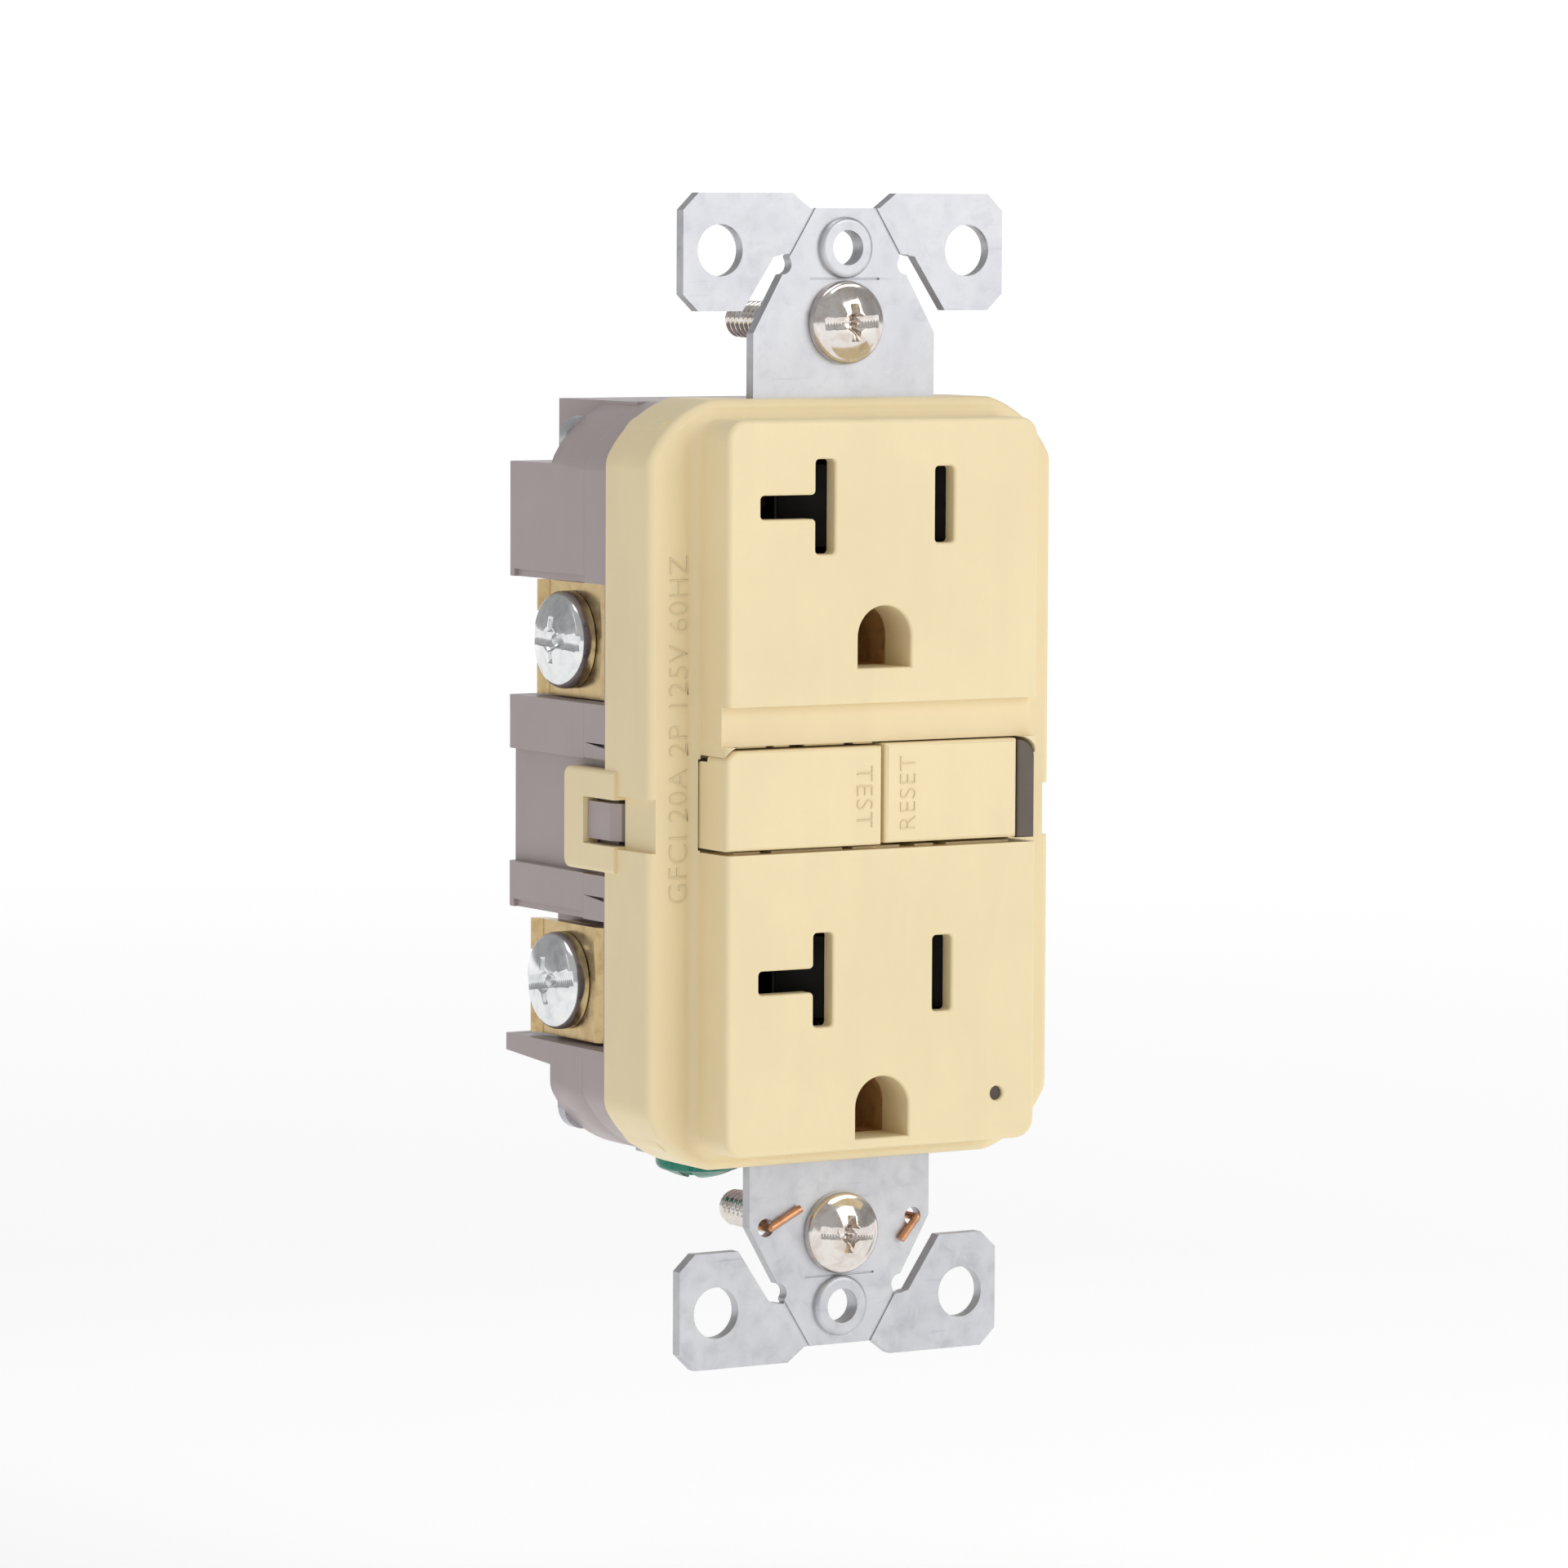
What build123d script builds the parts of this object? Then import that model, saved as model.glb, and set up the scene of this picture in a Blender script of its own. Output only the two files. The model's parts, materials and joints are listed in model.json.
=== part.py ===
from build123d import *
import os
from math import cos, radians, sin

# 20 A duplex ground-fault receptacle, in millimetres.
# X is to the right seen from the front, Y runs from the front to the back, Z is up.
# Y = 0 is the back plane of the steel strap, midway between the two box screws.

# Depths along Y
FACE_Y = -8.5            # front of the raised face
BUTTON_Y = -8.38         # front of the two buttons
BAND_Y = -7.4            # recessed band above the buttons
FACE_BACK_Y = -7.0       # inside of the face wall
FLANGE_Y = -3.0          # front of the flange
STRAP_Y = -1.2           # front of the strap, back of the flange
TRAY_Y = 0.1             # front edge of the contact tray
SKIRT_Y = 4.7            # rear edge of the cover's side walls
RIM_Y = 4.75             # front of the grey rim
RIM_BACK_Y = 5.55        # back of the grey rim, front of the wiring bays
FLOOR_Y = 9.4            # front of the tray floor
PARTING_Y = 9.5          # joint between the separator and the rear housing
FLOOR_BACK_Y = 10.4      # back of the tray floor
COLUMN_Y = 15.6          # back of the corner columns
BOARD_Y = 20.6           # front of the circuit board
BOARD_T = 1.6
BACK_INNER_Y = 22.8
BACK_Y = 24.0            # back of the housing

# Outline of the cover
COVER_HALF_X = 21.55
COVER_HALF_Z = 34.85
CORNER_RUN_X = 6.75
CORNER_RUN_Z = 5.55
CORNER_MID_X = 2.6
CORNER_MID_Z = 2.18
CORNER_BLEND = 2.5
SKIRT_T = 1.35
HOUSING_INSET = 0.5

# Raised face
FACE_HALF_X = 16.5
FACE_HALF_Z = 33.1
FACE_CORNER = 1.8
FACE_EDGE = 0.5
FACE_FOOT = 0.9
BAND_TOP_Z = 7.5
BUTTON_TOP_Z = 3.9
BUTTON_BOTTOM_Z = -5.8
BUTTON_CORNER = 1.1
LENS_CORNER = 1.8
GAP_RIB = 0.18
TEST_WRAP_TOP_Z = 2.6
TEST_WRAP_R = 0.6

# Blade and ground-pin openings
BLADE_X = 6.35
UPPER_BLADE_Z = 25.3
LOWER_BLADE_Z = -17.4
UPPER_GROUND_Z = 13.45
LOWER_GROUND_Z = -29.3
SLOT_W = 2.0
NEUTRAL_SLOT_H = 8.55
HOT_SLOT_H = 6.95
T_BAR_H = 2.15
T_BAR_END_X = -13.1
GROUND_R = 2.8
SLOT_CORNER = 0.4
SLOT_LEAD_IN = 0.28
POCKET_HALF_X = 15.0
POCKET_HALF_Z = 6.0
WELL_WALL = 1.1
WELL_END_Y = -4.0
SLEEVE_WALL = 0.5

# Snap tabs on the cover's sides
TAB_X = 21.9
TAB_INNER_X = 20.35
TAB_TOP_Z = 1.25
TAB_BOTTOM_Z = -8.05
TAB_START_Y = 2.5
TAB_END_Y = 11.8
WINDOW_TOP_Z = -1.35
WINDOW_BOTTOM_Z = -5.6
WINDOW_END_Y = 8.1
LATCH_TOP_Z = -1.75
LATCH_H = 3.4
TAB_RECESS_X = 20.05

# Strap
STRAP_T = 1.2
EAR_HALF_X = 17.0
EAR_END_Z = 53.35
EAR_HOLE_X = 13.14
EAR_HOLE_Z = 48.18
EAR_HOLE_R = 2.35
PLATE_SCREW_Z = 48.42
PLATE_SCREW_R = 1.6
COLLAR_R = 2.8
COLLAR_H = 0.6
NECK_HALF_X = 9.65
WEB_HALF_X = 5.0
BOX_SCREW_Z = 41.65
CLIP_HOLE_X = 7.9
CLIP_HOLE_Z = -40.75
GROUND_SCREW_X = -10.0
GROUND_SCREW_Y = 7.3
GROUND_TAB_Z = -34.75

# Screws
BOX_HEAD_R = 3.8
BOX_HEAD_H = 2.2
BOX_SHANK_R = 1.72
BOX_NECK_R = 1.4         # relieved neck where the screw passes through the strap
RETAINER_R = 2.1         # wider than the strap's slot is high, so the screw stays captive
TOP_SCREW_END_Y = 17.6
BOTTOM_SCREW_END_Y = 18.0
TERMINAL_HEAD_R = 4.5
TERMINAL_HEAD_H = 2.5
TERMINAL_SHANK_R = 2.08
TERMINAL_SHANK_L = 6.0
TERMINAL_SCREW_Y = 15.7
RUNNING_GAP = 0.05
ASSEMBLY_SCREW_X = 17.5
ASSEMBLY_SCREW_Z = 30.9
ASSEMBLY_HEAD_R = 2.0
ASSEMBLY_SHANK_R = 1.2

# Wiring bays, as lower and upper Z limits, with the screw's Z in each
CORE_HALF_X = 15.5
CORE_INNER_X = 14.3
BLOCK_HALF_X = 21.0
UPPER_BAY = (7.0, 17.95)
LOWER_BAY = (-24.6, -12.7)
TAB_GAP = (-8.5, 2.0)    # Z limits of the recess behind each snap tab
UPPER_TERMINAL_Z = 12.4
LOWER_TERMINAL_Z = -19.0
UPPER_CLAMP_X = 17.55
LOWER_CLAMP_X = 18.15
CLAMP_T = 1.2
CLAMP_HALF_Z = 5.3
CLAMP_CURL_Y = 20.0
CLAMP_CURL_R = 0.6
BARRIER_BOTTOM_Z = -26.2
BLOCK_EDGE = 0.8
LIP_DEPTH = 0.4
LIP_H = 0.7
LIP_END_Y = 22.6

# Buttons and the switch mechanism
TEST_X = -7.4
RESET_X = 7.4
STEM_Z = -0.9
STEM_R = 1.2
SPRING_SEAT_Y = -6.9
LATCH_Y = 15.0
ARM_ROOT_Z = -16.5
ARM_CONTACT_Z = -3.6
ARM_X = 12.0
LEAF_ROOT_Z = 9.0
SOLENOID_Y = 17.3


def box(x0, x1, y0, y1, z0, z1):
    """A box between two opposite corners."""
    centre = Pos((x0 + x1) / 2, (y0 + y1) / 2, (z0 + z1) / 2)
    return centre * Box(abs(x1 - x0), abs(y1 - y0), abs(z1 - z0))


def sided_box(side, x0, x1, y0, y1, z0, z1):
    """A box on the left (side = -1) or the right (side = 1), with X measured outwards."""
    return box(side * x0, side * x1, y0, y1, z0, z1)


def round_y(x, z, radius, y0, y1):
    """A cylinder along Y."""
    return Pos(x, (y0 + y1) / 2, z) * Rot(X=90) * Cylinder(radius, y1 - y0)


def round_x(y, z, radius, x0, x1):
    """A cylinder along X."""
    return Pos((x0 + x1) / 2, y, z) * Rot(Y=90) * Cylinder(radius, abs(x1 - x0))


def round_z(x, y, radius, z0, z1):
    """A cylinder along Z."""
    return Pos(x, y, (z0 + z1) / 2) * Cylinder(radius, abs(z1 - z0))


def prism(profile, y0, y1):
    """Extrude a profile drawn in X and Z from y0 back to y1."""
    return extrude(Plane.XZ.offset(-y1) * profile, amount=y1 - y0)


def polygon(*points):
    """A filled polygon from its corners."""
    return make_face(Polyline(*points, close=True))


def side_prism(side, profile, x0, x1):
    """Extrude a profile drawn in Y and Z between two distances out from the middle."""
    start = min(side * x0, side * x1)
    return extrude(Plane.YZ.offset(start) * profile, amount=x1 - x0)


def wire(points, radius):
    """A round wire through a run of points, with ball corners."""
    shape = None
    for start, end in zip(points, points[1:]):
        run = Vector(*end) - Vector(*start)
        plane = Plane(origin=start, z_dir=run)
        piece = extrude(plane * Circle(radius), amount=run.length)
        shape = piece if shape is None else shape + piece
    for point in points[1:-1]:
        shape = shape + Pos(*point) * Sphere(radius)
    return shape


def coil(radius, wire_radius, length, turns):
    """A coil spring standing on the origin, along Z."""
    path = Helix(pitch=length / turns, height=length, radius=radius)
    section = Plane(origin=path @ 0, z_dir=path % 0) * Circle(wire_radius)
    return sweep(section, path=path, is_frenet=True)


def screw_head(radius, height):
    """A domed head with its underside on Z = 0, cut by a slot and a cross."""
    rim = height * 0.25
    profile = make_face(
        [
            Line((0, 0), (radius, 0)),
            Line((radius, 0), (radius, rim)),
            ThreePointArc(
                (radius, rim),
                (radius * 0.72, rim + (height - rim) * 0.62),
                (0, height),
            ),
            Line((0, height), (0, 0)),
        ]
    )
    head = revolve(Plane.XZ * profile, Axis.Z)
    slot = Pos(0, 0, height) * Box(2.2 * radius, 1.1, 1.7)
    cross = Pos(0, 0, height) * Box(1.0, 1.15 * radius, 2.2)
    cross += Pos(0, 0, height) * Box(1.15 * radius, 1.0, 2.2)
    return head - slot - cross


def screw(head_radius, head_height, shank_radius, shank_length):
    """A screw with its head above Z = 0 and its shank below it."""
    tip = 0.5
    shank = Pos(0, 0, -(shank_length - tip) / 2) * Cylinder(shank_radius, shank_length - tip)
    cone = Cone(shank_radius - 0.4, shank_radius, tip)
    shank += Pos(0, 0, tip / 2 - shank_length) * cone
    return screw_head(head_radius, head_height) + shank


def cover_outline(inset=0.0):
    """The body's outline from the front, with large arced corners."""
    half_x = COVER_HALF_X - inset
    half_z = COVER_HALF_Z - inset
    side_x = half_x - CORNER_RUN_X
    side_z = half_z - CORNER_RUN_Z
    edges = []
    for sx, sz in ((1, 1), (1, -1), (-1, -1), (-1, 1)):
        top = (sx * side_x, sz * half_z)
        middle = (sx * (half_x - CORNER_MID_X), sz * (half_z - CORNER_MID_Z))
        flank = (sx * half_x, sz * side_z)
        edges.append(ThreePointArc(top, middle, flank))
    edges.append(Line((-side_x, half_z), (side_x, half_z)))
    edges.append(Line((-side_x, -half_z), (side_x, -half_z)))
    edges.append(Line((half_x, -side_z), (half_x, side_z)))
    edges.append(Line((-half_x, -side_z), (-half_x, side_z)))
    face = make_face(edges)
    return fillet(face.vertices(), CORNER_BLEND)


def ground_profile(z, grow=0.0):
    """A ground-pin opening: round on top, flat below."""
    radius = GROUND_R + grow
    flat = Pos(0, z - radius / 2) * Rectangle(2 * radius, radius)
    return Pos(0, z) * Circle(radius) + flat


def neutral_profile(z):
    """A T-shaped opening for 15 A and 20 A neutral blades."""
    upright = Pos(-BLADE_X, z) * Rectangle(SLOT_W, NEUTRAL_SLOT_H)
    bar_length = -BLADE_X - T_BAR_END_X
    bar = Pos(T_BAR_END_X + bar_length / 2, z) * Rectangle(bar_length, T_BAR_H)
    outline = upright + bar
    return fillet(outline.vertices(), SLOT_CORNER)


def hot_profile(z):
    return Pos(BLADE_X, z) * RectangleRounded(SLOT_W, HOT_SLOT_H, SLOT_CORNER)


def face_edges(shape, depth, x0, x1, z0, z1):
    """Edges lying at one depth, with their centres inside a window."""
    found = []
    for edge in shape.edges():
        limits = edge.bounding_box()
        centre = edge.center()
        flat = abs(limits.min.Y - depth) < 0.01 and abs(limits.max.Y - depth) < 0.01
        if flat and x0 < centre.X < x1 and z0 < centre.Z < z1:
            found.append(edge)
    return found


def cover_shell():
    """Flange, side walls and raised face, before anything is cut."""
    outer = prism(cover_outline(), FLANGE_Y, SKIRT_Y)
    rim = face_edges(outer, FLANGE_Y, -99, 99, -99, 99)
    outer = fillet(rim, 0.8)
    outer -= prism(cover_outline(SKIRT_T), STRAP_Y, SKIRT_Y)
    block = prism(RectangleRounded(2 * FACE_HALF_X, 2 * FACE_HALF_Z, FACE_CORNER), FACE_Y, STRAP_Y)
    shell = outer + block
    foot = face_edges(
        shell, FLANGE_Y, -FACE_HALF_X - 0.1, FACE_HALF_X + 0.1, -FACE_HALF_Z - 0.1, FACE_HALF_Z + 0.1
    )
    shell = fillet(foot, FACE_FOOT)
    return fillet(face_edges(shell, FACE_Y, -99, 99, -99, 99), FACE_EDGE)


def cover_face_cuts(shell):
    """Recessed band, button opening, pin openings and pockets behind the face."""
    half = FACE_HALF_X + 0.02
    shell -= box(-half, half, FACE_Y - 1, BAND_Y, BUTTON_TOP_Z, BAND_TOP_Z)
    opening_height = BUTTON_TOP_Z - BUTTON_BOTTOM_Z
    opening = Rectangle(2 * half, opening_height)
    right = opening.vertices().sort_by(Axis.Y)[-2:].sort_by(Axis.X)[-1]
    opening = fillet(right, LENS_CORNER)
    left = opening.vertices().sort_by(Axis.Y)[-2:].sort_by(Axis.X)[0]
    opening = fillet(left, BUTTON_CORNER)
    opening_z = (BUTTON_TOP_Z + BUTTON_BOTTOM_Z) / 2
    shell -= prism(Pos(0, opening_z) * opening, FACE_Y - 1, FLANGE_Y)
    for x0, x1 in ((-14.6, -11.6), (-10.8, -9.2), (-7.6, -3.4), (-2.4, -0.4)):
        shell += box(x0, x1, BAND_Y + 0.4, FLANGE_Y, BUTTON_TOP_Z - GAP_RIB, BUTTON_TOP_Z + 0.1)
    for x0, x1 in ((-15, -12.2), (-11.0, -3.5), (-2.4, 2.6), (4.2, 6.2), (7.6, 14.4)):
        shell += box(x0, x1, BAND_Y + 0.4, FLANGE_Y, BUTTON_BOTTOM_Z - 0.1, BUTTON_BOTTOM_Z + GAP_RIB)
    for z in (UPPER_BLADE_Z, LOWER_BLADE_Z):
        shell -= prism(neutral_profile(z), FACE_Y - 1, FACE_BACK_Y + 0.5)
        shell -= prism(hot_profile(z), FACE_Y - 1, FACE_BACK_Y + 0.5)
        shell -= box(
            -POCKET_HALF_X, POCKET_HALF_X, FACE_BACK_Y, STRAP_Y, z - POCKET_HALF_Z, z + POCKET_HALF_Z
        )
    ground_rooms = ((UPPER_GROUND_Z, 8.7, 18.3), (LOWER_GROUND_Z, -32.0, -24.4))
    for z, low, high in ground_rooms:
        room = box(-POCKET_HALF_X, POCKET_HALF_X, FACE_BACK_Y, STRAP_Y, low, high)
        shell -= room - prism(ground_profile(z, WELL_WALL), FACE_BACK_Y, WELL_END_Y)
        shell -= prism(ground_profile(z, SLEEVE_WALL + 0.12), WELL_END_Y, STRAP_Y + 1)
        shell -= prism(ground_profile(z), FACE_Y - 1, STRAP_Y + 1)
    shell -= box(-POCKET_HALF_X, POCKET_HALF_X, FACE_BACK_Y, STRAP_Y, -10.4, -7.2)
    shell -= round_y(12.35, -28.8, 0.65, FACE_Y - 1, FACE_BACK_Y + 0.1)
    return shell


def cover_button_floor(shell):
    """Holes through the flange below the buttons."""
    for x in (TEST_X, RESET_X):
        shell -= round_y(x, STEM_Z, STEM_R + 0.08, FLANGE_Y - 1, STRAP_Y + 0.1)
    shell -= box(-16.6, -14.9, FLANGE_Y - 1.5, FLANGE_Y + 1.3, -5.65, TEST_WRAP_TOP_Z)
    shell -= box(14.9, 16.3, FLANGE_Y - 1, STRAP_Y + 0.1, -2.7, 0.9)
    for x in (-11.5, -3.6, 3.6, 11.5):
        for z in (3.1, -5.0):
            shell -= box(x - 1.5, x + 1.5, FLANGE_Y - 1, STRAP_Y + 0.1, z - 0.7, z + 0.7)
    return shell


def front_cover():
    """Ivory cover: flange, raised face, side walls, snap tabs and screw bosses."""
    shell = cover_button_floor(cover_face_cuts(cover_shell()))
    lead_in = []
    for z, height in ((UPPER_BLADE_Z, 6), (LOWER_BLADE_Z, 6), (UPPER_GROUND_Z, 4), (LOWER_GROUND_Z, 3.2)):
        lead_in += face_edges(shell, FACE_Y, -14, 14, z - height, z + height)
    shell = fillet(lead_in, SLOT_LEAD_IN)
    for side in (-1, 1):
        tab = sided_box(side, TAB_INNER_X, TAB_X, TAB_START_Y, TAB_END_Y, TAB_BOTTOM_Z, TAB_TOP_Z)
        tab = fillet(tab.edges().filter_by(Axis.X).sort_by(Axis.Y)[-2:], 0.9)
        outer_face = tab.faces().sort_by(Axis.X)[0 if side < 0 else -1]
        tab = fillet(outer_face.edges().sort_by(Axis.Y)[1:], 0.35)
        shell += tab
        shell -= sided_box(side, 19.5, 23, TAB_START_Y, WINDOW_END_Y, WINDOW_BOTTOM_Z, WINDOW_TOP_Z)
        shell -= sided_box(side, 20.7, 23, FLANGE_Y - 1, TAB_START_Y, -5.8, -0.95)
        for z in (-ASSEMBLY_SCREW_Z, ASSEMBLY_SCREW_Z):
            x = side * ASSEMBLY_SCREW_X
            shell += round_y(x, z, 2.4, STRAP_Y - 0.1, SKIRT_Y)
            shell -= round_y(x, z, ASSEMBLY_SHANK_R + 0.02, STRAP_Y + 0.4, SKIRT_Y + 0.1)
    notch_x = NECK_HALF_X + 0.15
    shell -= box(-notch_x, notch_x, STRAP_Y, SKIRT_Y + 0.1, 33.0, 35)
    shell -= box(-14.3, notch_x, STRAP_Y, SKIRT_Y + 0.1, -35, -33.0)
    return shell


def bay_cut(y0, y1):
    """The four wiring bays between two depths."""
    cuts = None
    for side in (-1, 1):
        for low, high in (UPPER_BAY, LOWER_BAY):
            bay = sided_box(side, CORE_HALF_X, 23, y0, y1, low, high)
            cuts = bay if cuts is None else cuts + bay
    return cuts


def separator():
    """Grey insulating tray that carries the blade contacts, with the visible rim."""
    body = prism(cover_outline(0.4), RIM_Y, RIM_BACK_Y)
    body += prism(cover_outline(HOUSING_INSET), RIM_BACK_Y, PARTING_Y)
    tray = box(-CORE_HALF_X, CORE_HALF_X, TRAY_Y, RIM_Y + 0.1, -33.3, 33.3)
    body += tray & prism(cover_outline(SKIRT_T + 0.15), TRAY_Y - 1, RIM_Y + 1)
    body += box(-14.2, 14.2, PARTING_Y - 0.1, FLOOR_BACK_Y, -30.7, 33.0)
    body -= box(-14.2, 14.2, TRAY_Y - 1, FLOOR_Y, -32.8, 32.3)
    body -= bay_cut(RIM_BACK_Y, PARTING_Y + 1)
    for side in (-1, 1):
        body -= sided_box(side, TAB_RECESS_X, 23, RIM_Y - 1, PARTING_Y + 1, -8.55, 2.05)
        latch = polygon(
            (side * (TAB_RECESS_X - 0.1), RIM_Y + 0.1),
            (side * 20.35, RIM_Y + 0.1),
            (side * 20.35, TAB_START_Y + 0.45),
            (side * 20.8, TAB_START_Y + 0.45),
            (side * 21.4, TAB_START_Y + 1.6),
            (side * 21.4, WINDOW_END_Y - 0.1),
            (side * (TAB_RECESS_X - 0.1), WINDOW_END_Y - 0.1),
        )
        body += extrude(Plane.XY.offset(LATCH_TOP_Z - LATCH_H) * latch, amount=LATCH_H)
        for z in (3.45, -10.5):
            wedge = polygon((PARTING_Y - 0.1, z), (RIM_BACK_Y, z), (RIM_BACK_Y, z - 0.4))
            body -= side_prism(side, wedge, 20.3, 23)
        for z in (-ASSEMBLY_SCREW_Z, ASSEMBLY_SCREW_Z):
            x = side * ASSEMBLY_SCREW_X
            body -= round_y(x, z, 2.5, TRAY_Y - 1, RIM_Y)
            body -= round_y(x, z, ASSEMBLY_SHANK_R + 0.1, RIM_Y - 0.1, PARTING_Y + 0.1)
        # passages for the switched contacts and for the legs down to the upper terminals
        body -= sided_box(side, 10.2, 13.9, FLOOR_Y - 1, FLOOR_BACK_Y + 1, -6.5, -1.0)
        body -= sided_box(side, 12.9, 14.1, FLOOR_Y - 1, FLOOR_BACK_Y + 1, 10.4, 14.4)
        body -= round_y(side * TEST_X, STEM_Z, STEM_R + 0.3, FLOOR_Y - 1, FLOOR_BACK_Y + 1)
    for z in (UPPER_GROUND_Z, LOWER_GROUND_Z + 0.7):
        body -= round_y(0, z, 3.2, FLOOR_Y - 1, FLOOR_BACK_Y + 1)
    body -= box(14.9, 16.3, TRAY_Y - 1, PARTING_Y + 1, -2.7, 0.9)
    body -= round_y(12.35, -28.8, 0.75, FLOOR_Y - 1, FLOOR_BACK_Y + 1)
    body -= box(-14.3, -5.7, RIM_Y - 1, PARTING_Y + 1, -36, -33.4)
    body -= round_z(GROUND_SCREW_X, GROUND_SCREW_Y, 2.4, -34, -32)
    for x in (-4.6, 4.0):
        for low, high in ((-11.5, -6.5), (-5, 8.5), (18.5, 21.0)):
            body += box(x, x + 0.6, FLOOR_Y - 3.4, FLOOR_Y + 0.1, low, high)
    return body


def side_block(side, front, low, high, round_low, round_high):
    """A block beside a wiring bay, rounded where its back meets its free sides."""
    block = sided_box(side, CORE_HALF_X - 1, BLOCK_HALF_X, front, BACK_Y, low, high)
    rim = block.faces().sort_by(Axis.Y)[-1].edges()
    across = rim.filter_by(Axis.X).sort_by(Axis.Z)
    chosen = [rim.filter_by(Axis.Z).sort_by(Axis.X)[0 if side < 0 else -1]]
    if round_low:
        chosen.append(across[0])
    if round_high:
        chosen.append(across[-1])
    return fillet(chosen, BLOCK_EDGE)


def rear_housing():
    """Mauve-grey rear case with four open wiring bays."""
    front = PARTING_Y + 0.02
    body = prism(cover_outline(HOUSING_INSET), front, COLUMN_Y)
    body += box(-CORE_HALF_X, CORE_HALF_X, front, BACK_Y, -32.0, 34.3)
    for side in (-1, 1):
        body -= sided_box(side, TAB_RECESS_X, 23, front - 1, BACK_Y + 1, TAB_GAP[0], TAB_GAP[1])
        body += sided_box(side, CORE_HALF_X - 1, TAB_RECESS_X, front, BACK_Y, TAB_GAP[0], TAB_GAP[1])
        body += side_block(side, front, UPPER_BAY[1], 28.6, True, True)
        body += side_block(side, front, TAB_GAP[1], UPPER_BAY[0], False, True)
        body += side_block(side, front, LOWER_BAY[1], TAB_GAP[0], True, False)
        for low in (UPPER_BAY[1], LOWER_BAY[1]):
            body -= sided_box(side, BLOCK_HALF_X - LIP_DEPTH, 23, front - 1, LIP_END_Y, low - 0.1, low + LIP_H)
        barrier = polygon(
            (COLUMN_Y - 0.2, LOWER_BAY[0]),
            (BACK_Y, LOWER_BAY[0]),
            (BACK_Y, BARRIER_BOTTOM_Z),
            (COLUMN_Y - 0.2, BARRIER_BOTTOM_Z - 0.55),
        )
        body += side_prism(side, barrier, CORE_HALF_X - 1, BLOCK_HALF_X)
    body -= bay_cut(front - 1, BACK_Y + 1)
    body -= box(-CORE_INNER_X, CORE_INNER_X, front - 1, BACK_INNER_Y, -30.8, 33.1)
    body -= box(-6, 6, front - 1, 14.0, -32.9, -30.5)
    body -= box(14, 16.7, front - 1, BACK_INNER_Y, -3.1, 1.3)
    body -= box(-14.3, -5.7, front - 1, COLUMN_Y + 1, -36, -33.4)
    for side in (-1, 1):
        for z in (UPPER_TERMINAL_Z, LOWER_TERMINAL_Z):
            body -= round_x(TERMINAL_SCREW_Y, z, 2.4, side * 14, side * 15.6)
            body -= sided_box(side, 14, 15.6, 10.95, 12.05, z - 2.25, z + 2.25)
        for z in (-ASSEMBLY_SCREW_Z, ASSEMBLY_SCREW_Z):
            x = side * ASSEMBLY_SCREW_X
            body -= round_y(x, z, ASSEMBLY_SHANK_R + 0.1, front - 1, COLUMN_Y + 0.1)
    # shallow moulded panel on the back
    body -= box(-12, 12, BACK_Y - 0.3, BACK_Y + 1, -26, 28)
    return body


def ear_profile(side, end):
    """One plaster ear of the strap, on the given side and end."""
    points = (
        (5.5, EAR_END_Z),
        (15.4, EAR_END_Z),
        (EAR_HALF_X, 51.8),
        (EAR_HALF_X, 44.2),
        (15.4, 42.7),
        (10.8, 42.7),
        (7.5, 47.6),
        (5.85, 47.9),
        (3.0, 47.9),
        (3.0, 52.0),
        (3.7, 52.0),
    )
    return polygon(*[(side * x, end * z) for x, z in points])


def strap_end(end):
    """Neck, ears and holes at one end of the strap; end is 1 at the top."""
    neck = polygon(
        (-NECK_HALF_X, end * 33.0),
        (-NECK_HALF_X, end * 40.7),
        (-6.6, end * 46.0),
        (-5.85, end * 47.2),
        (-5.85, end * 52.0),
        (5.85, end * 52.0),
        (5.85, end * 47.2),
        (6.6, end * 46.0),
        (NECK_HALF_X, end * 40.7),
        (NECK_HALF_X, end * 33.0),
    )
    outline = neck + ear_profile(-1, end) + ear_profile(1, end)
    outline -= Pos(6.55, end * 46.9) * Circle(0.9) + Pos(-6.55, end * 46.9) * Circle(0.9)
    plate = prism(outline, STRAP_Y, 0)
    plate += round_y(0, end * PLATE_SCREW_Z, COLLAR_R, STRAP_Y - COLLAR_H, STRAP_Y + 0.1)
    plate = fillet(
        face_edges(plate, STRAP_Y - COLLAR_H, -4, 4, end * PLATE_SCREW_Z - 4, end * PLATE_SCREW_Z + 4), 0.45
    )
    plate -= round_y(0, end * PLATE_SCREW_Z, PLATE_SCREW_R, -3, 1)
    for side in (-1, 1):
        plate -= round_y(side * EAR_HOLE_X, end * EAR_HOLE_Z, EAR_HOLE_R, -3, 1)
        score = polygon(
            (side * 5.78, end * 47.7),
            (side * 6.03, end * 47.8),
            (side * 3.33, end * 52.15),
            (side * 3.08, end * 52.05),
        )
        plate -= prism(score, STRAP_Y - 0.1, STRAP_Y + 0.15)
        plate -= prism(score, -0.2, 0.1)
    plate -= box(-3.7, 3.7, STRAP_Y - 0.1, STRAP_Y + 0.2, end * 45.5, end * 45.7)
    screw_slot = Pos(0, end * BOX_SCREW_Z) * SlotOverall(5.6, 3.9)
    plate -= prism(screw_slot, -3, 1)
    return plate


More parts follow.
